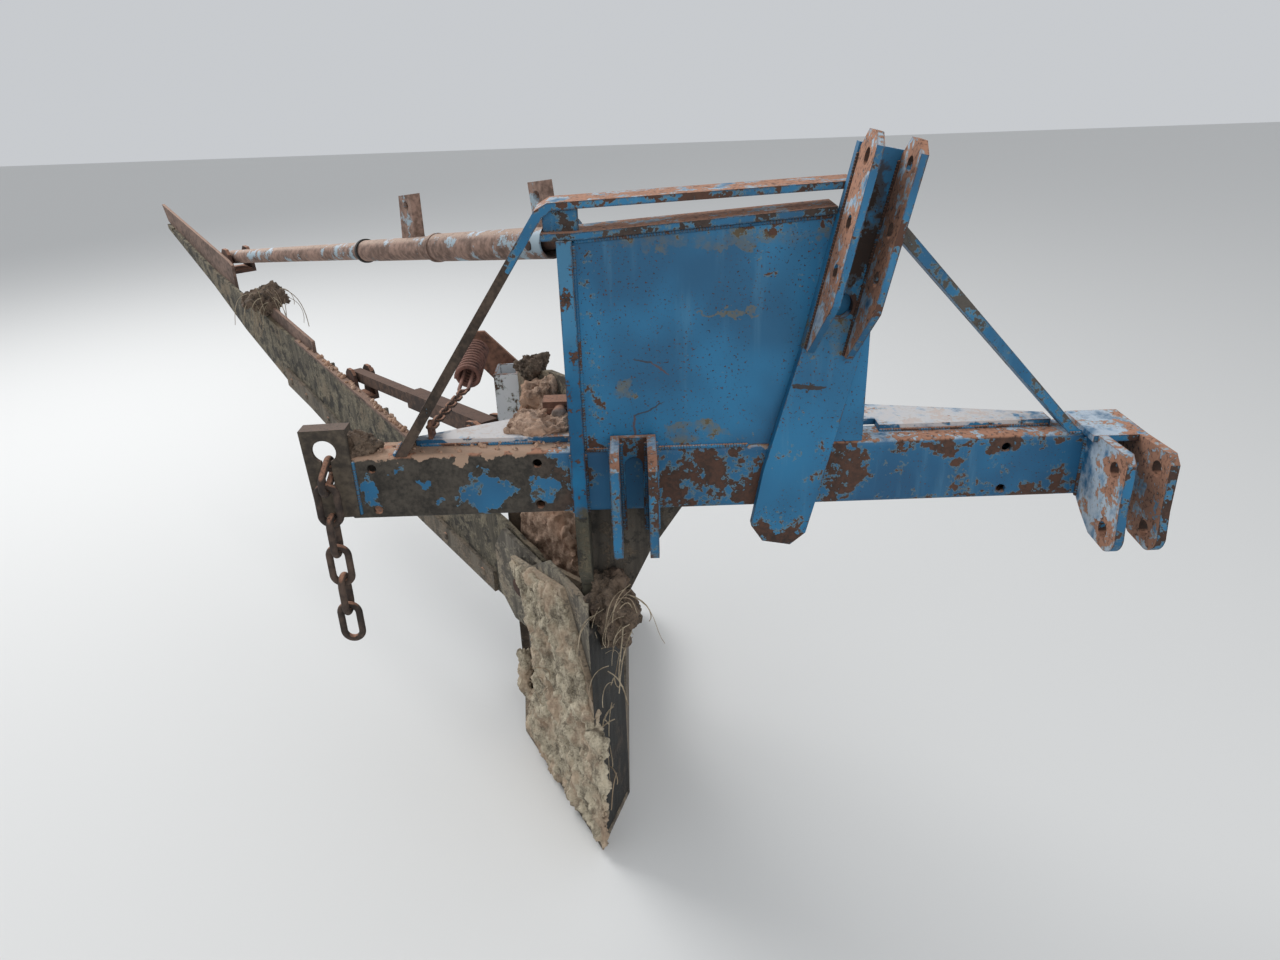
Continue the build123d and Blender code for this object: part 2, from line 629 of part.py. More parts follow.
# Tension spring: ribbed coils, an eye for the chain and a threaded rod through the arm
COILS = 14
SPRING_PITCH = 14.0
SPRING_R = 30.0
SPRING_IN = 19.0
ROD_R = 6.0
spring_from = Vector(SPRING_X, 372, 934)
spring_end_y = 372 + COILS * SPRING_PITCH
SPRING_DIR = Vector(0, ARM_Y - 372, ARM_HOLE_Z - 934).normalized()
spring_length = COILS * SPRING_PITCH
arm_reach = (ARM_Y + ARM_T - 372) / SPRING_DIR.Y + 1.5
with BuildPart() as tension_spring:
    with BuildSketch(Plane(origin=spring_from, x_dir=SPRING_DIR, z_dir=(1, 0, 0))) as profile:
        with BuildLine() as edge:
            for i in range(COILS):
                q0 = i * SPRING_PITCH
                Polyline((q0, SPRING_R - 5), (q0 + 3, SPRING_R), (q0 + SPRING_PITCH - 3, SPRING_R),
                         (q0 + SPRING_PITCH, SPRING_R - 5))
            Polyline((spring_length, SPRING_R - 5), (spring_length, ROD_R), (arm_reach + 24, ROD_R),
                     (arm_reach + 24, 0), (spring_length - 8, 0), (spring_length - 8, SPRING_IN),
                     (8, SPRING_IN),
                     (8, 0), (0, 0), (0, SPRING_R - 5))
        make_face()
    revolve(axis=Axis(spring_from, SPRING_DIR))
    with BuildSketch(Plane(origin=spring_from + SPRING_DIR * arm_reach, x_dir=(1, 0, 0),
                           z_dir=SPRING_DIR)) as nut:
        RegularPolygon(15, 6)
    extrude(amount=12)
    with Locations(Plane(origin=spring_from - SPRING_DIR * 15, x_dir=SPRING_DIR, z_dir=(1, 0, 0))):
        Torus(12, 4)
tension_spring.part.label = "tension_spring"
export_step(tension_spring.part, "parts/tension_spring.step")

# Spring chain: small links from the tab on the gusset to the eye of the spring
SMALL_D = 6.0
SMALL_IN = 26.6
SMALL_W = 22.0
SMALL_LINKS = 11
small_r = (SMALL_W - SMALL_D) / 2
small_half = (SMALL_IN + SMALL_D) / 2 - small_r
chain_from = Vector(TAB_X + TAB_T / 2, *TAB_HOLE)
chain_to = spring_from - SPRING_DIR * 22
chain_dir = (chain_to - chain_from).normalized()
chain_side = chain_dir.cross(Vector(0, 0, 1)).normalized()
chain_up = chain_side.cross(chain_dir).normalized()
small_pitch = (chain_to - chain_from).length / SMALL_LINKS
with BuildPart() as spring_chain:
    for i in range(SMALL_LINKS):
        middle = chain_from + chain_dir * (small_pitch * (i + 0.5))
        across = chain_side if i % 2 == 0 else chain_up
        with BuildLine(Plane(origin=middle, x_dir=across, z_dir=across.cross(chain_dir))) as loop:
            Line((small_r, -small_half), (small_r, small_half))
            CenterArc((0, small_half), small_r, 0, 180)
            Line((-small_r, small_half), (-small_r, -small_half))
            CenterArc((0, -small_half), small_r, 180, 180)
        with BuildSketch(Plane(origin=loop.line @ 0, z_dir=loop.line % 0)) as wire:
            Circle(SMALL_D / 2)
        sweep(path=loop.line)
spring_chain.part.label = "spring_chain"
export_step(spring_chain.part, "parts/spring_chain.step")

# Wing blade: long tapering sheet, its front end round about the pivot
LOWER = [(749, 411), (1216, 503), (1433, 561), (1598, 595), (1945, 714), (2205, 829), (2636, 985)]
UPPER = [(2640, 1002), (2491, 966), (2187, 887), (1790, 822), (1490, 763), (781, 641), (313, 567)]
FRONT_R = 112.0
with BuildPart() as wing_blade:
    with BuildSketch(WING.offset(BLADE_N)) as outline:
        with BuildLine() as edge:
            Polyline((HINGE_S, HINGE_Z - FRONT_R), *LOWER, *UPPER, (HINGE_S, HINGE_Z + FRONT_R))
            ThreePointArc((HINGE_S, HINGE_Z + FRONT_R), (HINGE_S - FRONT_R, HINGE_Z),
                          (HINGE_S, HINGE_Z - FRONT_R))
        make_face()
        with Locations((HINGE_S, HINGE_Z)):
            Circle(HINGE_PIN_D / 2 + 0.5, mode=Mode.SUBTRACT)
        with Locations((2588, 984)):
            Circle(9, mode=Mode.SUBTRACT)
    extrude(amount=BLADE_T)
wing_blade.part.label = "wing_blade"
export_step(wing_blade.part, "parts/wing_blade.step")

# Cutting edge: bolted strip along the foot of the blade
EDGE_T = 10.0
EDGE_W = 58.0
EDGE_FOOT = [(380, 345), (749, 411), (1216, 503), (1433, 561), (1598, 595)]
with BuildPart() as wing_cutting_edge:
    with BuildSketch(WING.offset(BLADE_N - EDGE_T)) as outline:
        with BuildLine() as edge:
            Polyline(*EDGE_FOOT, *[(s, z + EDGE_W) for s, z in reversed(EDGE_FOOT)], close=True)
        make_face()
    extrude(amount=EDGE_T)
wing_cutting_edge.part.label = "wing_cutting_edge"
export_step(wing_cutting_edge.part, "parts/wing_cutting_edge.step")

# Top flange: flat lying along the straight part of the blade's top
FLANGE_N = 28.0
with BuildPart() as wing_top_flange:
    with BuildSketch(WING.offset(BLADE_N)) as outline:
        with BuildLine() as edge:
            Polyline((781, 641), (1490, 763), (1490, 771), (781, 649), close=True)
        make_face()
    extrude(amount=FLANGE_N - BLADE_N)
wing_top_flange.part.label = "wing_top_flange"
export_step(wing_top_flange.part, "parts/wing_top_flange.step")

# Upper sheets: two plates behind the blade that stand above its top edge
UPPER_T = 10.0
MIDDLE_SHEET = [(1376, 751.4), (1376, 787), (1790, 862), (1850, 850), (1850, 790), (1492, 715), (1492, 771.4)]
REAR_SHEET = [(2000, 800), (2000, 930), (2042, 944), (2699, 1070), (2660, 1010), (2491, 940), (2187, 855)]
with BuildPart() as wing_upper_sheets:
    for outline_points in (MIDDLE_SHEET, REAR_SHEET):
        with BuildSketch(WING.offset(BLADE_N + BLADE_T)) as outline:
            with BuildLine() as edge:
                Polyline(*outline_points, close=True)
            make_face()
        extrude(amount=UPPER_T)
wing_upper_sheets.part.label = "wing_upper_sheets"
export_step(wing_upper_sheets.part, "parts/wing_upper_sheets.step")

# Back ribs: upright stiffeners on the back of the blade
RIBS = [
    # s, foot, top
    (640, 400, 606),
    (980, 464, 664),
    (1320, 540, 722),
    (1660, 624, 740),
    (1930, 718, 800),
]
with BuildPart() as wing_back_ribs:
    for s, z0, z1 in RIBS:
        with BuildSketch(WING.offset(BLADE_N + BLADE_T)) as foot:
            with Locations((s + 5, (z0 + z1) / 2)):
                Rectangle(10, z1 - z0)
        extrude(amount=38)
wing_back_ribs.part.label = "wing_back_ribs"
export_step(wing_back_ribs.part, "parts/wing_back_ribs.step")

# Wing brackets: each two lugs on a shelf, for the strut and for the stay
STRUT_SIDE = THIN_OD / 2 + MOVE_GAP + 1
BRACKET_N0 = BLADE_N + BLADE_T + UPPER_T
STAY_BAR = 30.0
STAY_SIDE = STAY_BAR / 2 + MOVE_GAP + 1
with BuildPart() as wing_brackets:
    with BuildSketch(WING.offset(BRACKET_N0)) as shelf:
        with BuildLine() as edge:
            Polyline((STRUT_OUT_S - 46, 892), (STRUT_OUT_S + 46, 892), (STRUT_OUT_S + 46, 904),
                     (STRUT_OUT_S - 46, 904), close=True)
        make_face()
    extrude(amount=STRUT_N + STRUT_SIDE + 12 - BRACKET_N0)
    for n0 in (STRUT_N - STRUT_SIDE - 12, STRUT_N + STRUT_SIDE):
        with BuildSketch(WING.offset(n0)) as lug:
            with BuildLine() as edge:
                Polyline((STRUT_OUT_S - 46, 900), (STRUT_OUT_S + 46, 900),
                         (STRUT_OUT_S + 32, STRUT_OUT_Z + 16),
                         (STRUT_OUT_S + 16, STRUT_OUT_Z + 32), (STRUT_OUT_S - 16, STRUT_OUT_Z + 32),
                         (STRUT_OUT_S - 32, STRUT_OUT_Z + 16), close=True)
            make_face()
            with Locations((STRUT_OUT_S, STRUT_OUT_Z)):
                Circle(12.5, mode=Mode.SUBTRACT)
        extrude(amount=12)
    with BuildSketch(WING.offset(BLADE_N + BLADE_T)) as shelf:
        with BuildLine() as edge:
            Polyline((STAY_OUT_S - 38, 652), (STAY_OUT_S + 38, 652), (STAY_OUT_S + 38, 664),
                     (STAY_OUT_S - 38, 664), close=True)
        make_face()
    extrude(amount=STAY_OUT_N + STAY_SIDE + 10 - BLADE_N - BLADE_T)
    for n0 in (STAY_OUT_N - STAY_SIDE - 10, STAY_OUT_N + STAY_SIDE):
        with BuildSketch(WING.offset(n0)) as lug:
            with BuildLine() as edge:
                Polyline((STAY_OUT_S - 38, 660), (STAY_OUT_S + 38, 660), (STAY_OUT_S + 26, STAY_OUT_Z + 12),
                         (STAY_OUT_S + 12, STAY_OUT_Z + 26), (STAY_OUT_S - 12, STAY_OUT_Z + 26),
                         (STAY_OUT_S - 26, STAY_OUT_Z + 12), close=True)
            make_face()
            with Locations((STAY_OUT_S, STAY_OUT_Z)):
                Circle(10, mode=Mode.SUBTRACT)
        extrude(amount=10)
wing_brackets.part.label = "wing_brackets"
export_step(wing_brackets.part, "parts/wing_brackets.step")

# Wing pins: the strut's pin and the stay's pin in their brackets
with BuildPart() as wing_pins:
    for s, z, n, side, t, r in ((STRUT_OUT_S, STRUT_OUT_Z, STRUT_N, STRUT_SIDE, 12.0, 12.5),
                                (STAY_OUT_S, STAY_OUT_Z, STAY_OUT_N, STAY_SIDE, 10.0, 10.0)):
        with BuildSketch(WING.offset(n - side - t)) as shank:
            with Locations((s, z)):
                Circle(r)
        extrude(amount=2 * (side + t))
        with BuildSketch(WING.offset(n + side + t)) as head:
            with Locations((s, z)):
                Circle(r + 6)
        extrude(amount=8)
wing_pins.part.label = "wing_pins"
export_step(wing_pins.part, "parts/wing_pins.step")

# Pivot brackets: round stub from the leg into the strut's inner end, and lugs for the stay on the rear post
STUB_R = 17.0
STUB_END = 22.0
STUB_DROP = 13.85
STUB_PIN_R = 10.0
STAY_TUBE = 45.0
TUBE_SIDE = STAY_TUBE / 2 + MOVE_GAP
stub_in = wing_point(STRUT_IN_S, STRUT_IN_Z, STRUT_N)
stub_drop = math.radians(STUB_DROP)
stub_dir = Vector(-sa * math.cos(stub_drop), ca * math.cos(stub_drop), -math.sin(stub_drop))
with BuildPart() as pivot_brackets:
    with BuildSketch(Plane(origin=stub_in + stub_dir * STUB_END, x_dir=(ca, sa, 0), z_dir=-stub_dir)) as stub:
        Circle(STUB_R)
    extrude(amount=150)
    with Locations((250 - LEG_HALF, 300, 1236)):
        Box(500, 500, 300, mode=Mode.SUBTRACT)
    with BuildSketch(WING.offset(STRUT_N - STUB_R)) as stub_hole:
        with Locations((STRUT_IN_S, STRUT_IN_Z)):
            Circle(STUB_PIN_R)
    extrude(amount=2 * STUB_R, mode=Mode.SUBTRACT)
    with BuildSketch(WING.offset(STAY_OUT_N - TUBE_SIDE - 12)) as shelf:
        with BuildLine() as edge:
            Polyline((330, 700), (STAY_IN_S + 14, 700), (STAY_IN_S + 14, 712), (330, 712), close=True)
        make_face()
    extrude(amount=2 * (TUBE_SIDE + 12))
    for n0 in (STAY_OUT_N - TUBE_SIDE - 12, STAY_OUT_N + TUBE_SIDE):
        with BuildSketch(WING.offset(n0)) as lug:
            with BuildLine() as edge:
                Polyline((330, 706), (STAY_IN_S + 14, 706), (STAY_IN_S + 28, STAY_IN_Z - 10),
                         (STAY_IN_S + 20, STAY_IN_Z + 20), (STAY_IN_S - 14, STAY_IN_Z + 28), (400, 780),
                         (330, 740), close=True)
            make_face()
            with Locations((STAY_IN_S, STAY_IN_Z)):
                Circle(10, mode=Mode.SUBTRACT)
        extrude(amount=12)
    with Locations((250 + POST_X0, 600, 740)):
        Box(500, 800, 200, mode=Mode.SUBTRACT)
pivot_brackets.part.label = "pivot_brackets"
export_step(pivot_brackets.part, "parts/pivot_brackets.step")

# Frame pins: the wing's pivot with its nut, the strut's inner pin and the stay's inner pin
with BuildPart() as frame_pins:
    with BuildSketch(WING.offset(-PLATE_T)) as pivot:
        with Locations((HINGE_S, HINGE_Z)):
            Circle(HINGE_PIN_D / 2)
    extrude(amount=HINGE_BACK_N + 2 * PLATE_T)
    with BuildSketch(WING.offset(-PLATE_T - 10)) as pivot_head:
        with Locations((HINGE_S, HINGE_Z)):
            Circle(24)
    extrude(amount=10)
    with BuildSketch(WING.offset(HINGE_BACK_N + PLATE_T)) as pivot_nut:
        with Locations((HINGE_S, HINGE_Z)):
            RegularPolygon(26, 6)
    extrude(amount=18)
    for s, z, n, half, r in ((STRUT_IN_S, STRUT_IN_Z, STRUT_N, SLEEVE_OD / 2 + 2, STUB_PIN_R),
                             (STAY_IN_S, STAY_IN_Z, STAY_OUT_N, TUBE_SIDE + 12, 10.0)):
        with BuildSketch(WING.offset(n - half)) as shank:
            with Locations((s, z)):
                Circle(r)
        extrude(amount=2 * half)
    with BuildSketch(WING.offset(STAY_OUT_N - TUBE_SIDE - 20)) as head:
        with Locations((STAY_IN_S, STAY_IN_Z)):
            Circle(17)
    extrude(amount=8)
frame_pins.part.label = "frame_pins"
export_step(frame_pins.part, "parts/frame_pins.step")

# Strut: q runs along it from the inner pin
strut_run = STRUT_OUT_S - STRUT_IN_S
strut_drop = STRUT_OUT_Z - STRUT_IN_Z
STRUT_LENGTH = math.hypot(strut_run, strut_drop)
strut_in = wing_point(STRUT_IN_S, STRUT_IN_Z, STRUT_N)
strut_dir = (wing_point(STRUT_OUT_S, STRUT_OUT_Z, STRUT_N) - strut_in).normalized()
STRUT = Plane(origin=strut_in, x_dir=strut_dir, z_dir=(ca, sa, 0))
SLEEVE_BACK = 40.0
SLEEVE_END = 442.0
MID_START = 215.0
MID_END = 832.0
RAM_LUG_T = 26.0
RAM_SIDE = 9.0
RAM_PIN_D = 22.0
RAM_IN_Q = -16.0
RAM_IN_H = 90.0
RAM_OUT_Q = 546.0
RAM_OUT_H = 102.0


# Sleeve: outer tube of the strut with the first ram lug
with BuildPart() as strut_sleeve:
    with BuildSketch(Plane(origin=strut_in - strut_dir * SLEEVE_BACK, x_dir=(ca, sa, 0),
                           z_dir=strut_dir)) as tube:
        Circle(SLEEVE_OD / 2)
        Circle(MID_OD / 2 + STRUT_GAP, mode=Mode.SUBTRACT)
    extrude(amount=SLEEVE_BACK + SLEEVE_END)
    with BuildSketch(Plane(origin=strut_in + strut_dir * (SLEEVE_END - 14), x_dir=(ca, sa, 0),
                           z_dir=strut_dir)) as mouth:
        Circle(SLEEVE_OD / 2 + 2)
        Circle(MID_OD / 2 + STRUT_GAP, mode=Mode.SUBTRACT)
    extrude(amount=14)
    with BuildSketch(STRUT.offset(RAM_SIDE - RAM_LUG_T / 2)) as lug:
        with BuildLine() as edge:
            Polyline((-SLEEVE_BACK, SLEEVE_OD / 2 - 12), (-SLEEVE_BACK, 118), (8, 118),
                     (8, SLEEVE_OD / 2 - 12), close=True)
        make_face()
        with Locations((RAM_IN_Q, RAM_IN_H)):
            Circle(RAM_PIN_D / 2, mode=Mode.SUBTRACT)
    extrude(amount=RAM_LUG_T)
    with BuildSketch(STRUT.offset(-60)) as pin_hole:
        Circle(STUB_PIN_R + 0.5)
    extrude(amount=120, mode=Mode.SUBTRACT)
    with BuildSketch(Plane(origin=strut_in - strut_dir * SLEEVE_BACK, x_dir=(ca, sa, 0),
                           z_dir=strut_dir)) as bore:
        Circle(MID_OD / 2 + STRUT_GAP)
    extrude(amount=SLEEVE_BACK + SLEEVE_END, mode=Mode.SUBTRACT)
strut_sleeve.part.label = "strut_sleeve"
export_step(strut_sleeve.part, "parts/strut_sleeve.step")

# Middle tube: slides in the sleeve and carries the second ram lug
with BuildPart() as strut_mid_tube:
    with BuildSketch(Plane(origin=strut_in + strut_dir * MID_START, x_dir=(ca, sa, 0),
                           z_dir=strut_dir)) as tube:
        Circle(MID_OD / 2)
    extrude(amount=MID_END - MID_START)
    with BuildSketch(STRUT.offset(RAM_SIDE - RAM_LUG_T / 2)) as lug:
        with BuildLine() as edge:
            Polyline((530, MID_OD / 2 - 13), (530, MID_OD / 2 + 4), (514, 127), (575, 127),
                     (604, MID_OD / 2 - 13), close=True)
        make_face()
        with Locations((RAM_OUT_Q, RAM_OUT_H)):
            Circle(RAM_PIN_D / 2, mode=Mode.SUBTRACT)
    extrude(amount=RAM_LUG_T)
    with BuildSketch(Plane(origin=strut_in + strut_dir * MID_START, x_dir=(ca, sa, 0),
                           z_dir=strut_dir)) as bore:
        Circle(THIN_OD / 2)
    extrude(amount=MID_END - MID_START, mode=Mode.SUBTRACT)
strut_mid_tube.part.label = "strut_mid_tube"
export_step(strut_mid_tube.part, "parts/strut_mid_tube.step")

# Thin tube: outer end of the strut, drilled for the wing's pin
with BuildPart() as strut_thin_tube:
    with BuildSketch(Plane(origin=strut_in + strut_dir * (MID_END - 90), x_dir=(ca, sa, 0),
                           z_dir=strut_dir)) as tube:
        Circle(THIN_OD / 2)
        Circle(THIN_OD / 2 - 5, mode=Mode.SUBTRACT)
    extrude(amount=STRUT_LENGTH - MID_END + 90 + 36)
    with BuildSketch(STRUT.offset(-60)) as pin_hole:
        with Locations((STRUT_LENGTH, 0)):
            Circle(13)
    extrude(amount=120, mode=Mode.SUBTRACT)
strut_thin_tube.part.label = "strut_thin_tube"
export_step(strut_thin_tube.part, "parts/strut_thin_tube.step")

# Strut ring: black band where the thin tube leaves the middle tube
with BuildPart() as strut_ring:
    with BuildSketch(Plane(origin=strut_in + strut_dir * MID_END, x_dir=(ca, sa, 0),
                           z_dir=strut_dir)) as ring:
        Circle(MID_OD / 2 + 4)
        Circle(THIN_OD / 2, mode=Mode.SUBTRACT)
    extrude(amount=10)
strut_ring.part.label = "strut_ring"
export_step(strut_ring.part, "parts/strut_ring.step")

# Stay: q runs along it from the pin at the rear post
stay_run = STAY_OUT_S - STAY_IN_S
stay_drop = STAY_OUT_Z - STAY_IN_Z
STAY_LENGTH = math.hypot(stay_run, stay_drop)
stay_in = wing_point(STAY_IN_S, STAY_IN_Z, STAY_OUT_N)
stay_dir = (wing_point(STAY_OUT_S, STAY_OUT_Z, STAY_OUT_N) - stay_in).normalized()
STAY = Plane(origin=stay_in, x_dir=stay_dir, z_dir=(ca, sa, 0))
STAY_GAP = 0.75
STAY_TUBE_END = 360.0

# Stay tube: inner half of the stay
with BuildPart() as stay_tube:
    with BuildSketch(Plane(origin=stay_in - stay_dir * 26, x_dir=(ca, sa, 0), z_dir=stay_dir)) as tube:
        Rectangle(STAY_TUBE, STAY_TUBE)
        Rectangle(STAY_BAR + 2 * STAY_GAP, STAY_BAR + 2 * STAY_GAP, mode=Mode.SUBTRACT)
    extrude(amount=STAY_TUBE_END + 26)
    with BuildSketch(STAY.offset(-40)) as pin_hole:
        Circle(10.5)
    extrude(amount=80, mode=Mode.SUBTRACT)
stay_tube.part.label = "stay_tube"
export_step(stay_tube.part, "parts/stay_tube.step")

# Stay bar: outer half, sliding in the tube
with BuildPart() as stay_bar:
    with BuildSketch(Plane(origin=stay_in + stay_dir * 160, x_dir=(ca, sa, 0), z_dir=stay_dir)) as bar:
        Rectangle(STAY_BAR, STAY_BAR)
    extrude(amount=STAY_LENGTH + 24 - 160)
    with BuildSketch(STAY.offset(-40)) as pin_hole:
        with Locations((STAY_LENGTH, 0)):
            Circle(10.5)
    extrude(amount=80, mode=Mode.SUBTRACT)
stay_bar.part.label = "stay_bar"
export_step(stay_bar.part, "parts/stay_bar.step")
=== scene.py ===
import math
import random

import bpy
from mathutils import Matrix, Vector


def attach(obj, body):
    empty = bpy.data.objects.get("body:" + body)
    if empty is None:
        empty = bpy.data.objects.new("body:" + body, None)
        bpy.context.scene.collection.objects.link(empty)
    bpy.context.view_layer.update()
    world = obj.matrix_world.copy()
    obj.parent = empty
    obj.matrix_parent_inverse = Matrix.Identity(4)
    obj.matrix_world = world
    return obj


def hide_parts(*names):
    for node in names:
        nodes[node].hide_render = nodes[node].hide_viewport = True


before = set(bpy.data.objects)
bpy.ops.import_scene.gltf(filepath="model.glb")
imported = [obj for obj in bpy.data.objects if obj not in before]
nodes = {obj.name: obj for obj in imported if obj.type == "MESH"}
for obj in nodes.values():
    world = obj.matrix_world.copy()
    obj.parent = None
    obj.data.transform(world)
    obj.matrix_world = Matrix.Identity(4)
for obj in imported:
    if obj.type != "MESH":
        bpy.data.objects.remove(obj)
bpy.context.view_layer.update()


# Cross beam: a rectangular tube in two halves, one welded to each side of the leg.
# Blue paint chipped to rust on the right half, and worn away nearly all over the left half.
class Wire:
    """One socket of a material, with arithmetic on it."""

    def __init__(self, tree, socket=None):
        self.tree = tree
        self.socket = socket

    def add(self, kind, inputs, out=0, **settings):
        """A node of another type: its settings first, then the values or links of its sockets."""
        node = self.tree.nodes.new("ShaderNode" + kind)
        for name, value in settings.items():
            setattr(node, name, value)
        for key, value in inputs.items():
            if isinstance(value, Wire):
                self.tree.links.new(value.socket, node.inputs[key])
            else:
                node.inputs[key].default_value = value
        return Wire(self.tree, node.outputs[out])

    def calculate(self, operation, first, second):
        return self.add("Math", {0: first, 1: second}, operation=operation)

    def __add__(self, other):
        return self.calculate("ADD", self, other)

    __radd__ = __add__

    def __sub__(self, other):
        return self.calculate("SUBTRACT", self, other)

    def __rsub__(self, other):
        return self.calculate("SUBTRACT", other, self)

    def __mul__(self, other):
        return self.calculate("MULTIPLY", self, other)

    __rmul__ = __mul__

    def __or__(self, other):
        return self.calculate("MAXIMUM", self, other)


def finish_on(name):
    """A new material, its first wire and its shader."""
    material = bpy.data.materials.new(name)
    material.use_nodes = True
    return material, Wire(material.node_tree), material.node_tree.nodes["Principled BSDF"]


def join(wire, shader, socket):
    wire.tree.links.new(wire.socket, shader.inputs[socket])


def step(value, low, high):
    """0 at low and 1 at high, smooth between."""
    return value.add("MapRange", {"Value": value, "From Min": low, "From Max": high},
                     interpolation_type="SMOOTHSTEP")


def mix(share, first, second):
    return share.add("Mix", {0: share, 6: first, 7: second}, out=2, data_type="RGBA")


def rgb(red, green, blue):
    return (red, green, blue, 1.0)


def grain(place, scale, shift=0.0, detail=4.0, rough=0.55, stretch=(1, 1, 1)):
    """Noise about 0.5, its features 1/scale metres across."""
    moved = place.add("Mapping", {"Vector": place, "Location": (shift, shift * 1.7, -shift),
                                  "Scale": stretch})
    return place.add("TexNoise", {"Vector": moved, "Scale": scale, "Detail": detail, "Roughness": rough})


def ragged(place, reach):
    """Places pushed about by up to reach metres, for spots with broken outlines."""
    push = place.add("TexNoise", {"Vector": place, "Scale": 32.0, "Detail": 4.0, "Roughness": 0.6},
                     out="Color")
    push = place.add("VectorMath", {0: push, 1: (0.5, 0.5, 0.5)}, operation="SUBTRACT")
    return place.add("VectorMath", {0: push, 1: (reach * 4, reach * 4, reach * 4), 2: place},
                     operation="MULTIPLY_ADD")


def spot(place, centre, size, turn=0.0):
    """1 inside a soft ellipsoid, 0 outside it. turn tips its length down to the right, in radians."""
    near = place.add("Mapping", {"Vector": place, "Location": centre, "Rotation": (0.0, turn, 0.0),
                                 "Scale": size}, vector_type="TEXTURE")
    return step(place.add("VectorMath", {0: near}, out="Value", operation="LENGTH"), 1.2, 0.7)


def bleached_and_lit(wire, left=False):
    """1 on faces that look up, paler from sun bleaching and painted sunlight, and if left is set on those
    that look to the left too, which get painted sunlight.
    """
    normal = wire.add("TexCoord", {}, out="Normal")
    sky = step(wire.add("SeparateXYZ", {0: normal}, out="Z"), 0.5, 0.85)
    if not left:
        return sky
    return sky | step(wire.add("SeparateXYZ", {0: normal}, out="X"), -0.60, -0.90)


def corner(wire, radius):
    """1 along the edges of a piece, where paint is rubbed off first."""
    rounded = wire.add("Bevel", {"Radius": radius}, samples=4)
    flat = wire.add("NewGeometry", {}, out="Normal")
    same = wire.add("VectorMath", {0: rounded, 1: flat}, out="Value", operation="DOT_PRODUCT")
    return step(same, 0.97, 0.80)


def relief(wire, shader, height, depth, strength=0.6):
    """Bump on the surface, over edges rounded by 2 mm."""
    rounded = wire.add("Bevel", {"Radius": 0.002}, samples=4)
    join(wire.add("Bump", {"Height": height, "Distance": depth, "Strength": strength, "Normal": rounded}),
         shader, "Normal")


DEEP_BLUE = rgb(0.005, 0.082, 0.178)
SKY_BLUE = rgb(0.010, 0.150, 0.305)
CHALK_BLUE = rgb(0.085, 0.235, 0.360)
# Paint on faces that look up or left: sun-bleached, and made paler still as painted sunlight.
BLEACHED_AND_LIT_BLUE = rgb(0.500, 0.570, 0.640)
UNDERCOAT = rgb(0.150, 0.185, 0.150)
DARK_RUST = rgb(0.028, 0.018, 0.014)
BROWN_RUST = rgb(0.085, 0.040, 0.026)
# Rust on faces that look up or left: real rust, made lighter as painted sunlight.
ORANGE_RUST_AND_LIGHT = rgb(0.400, 0.200, 0.125)
PINK_EARTH = rgb(0.400, 0.270, 0.190)
BARE_GREY = (0.034, 0.029, 0.023)


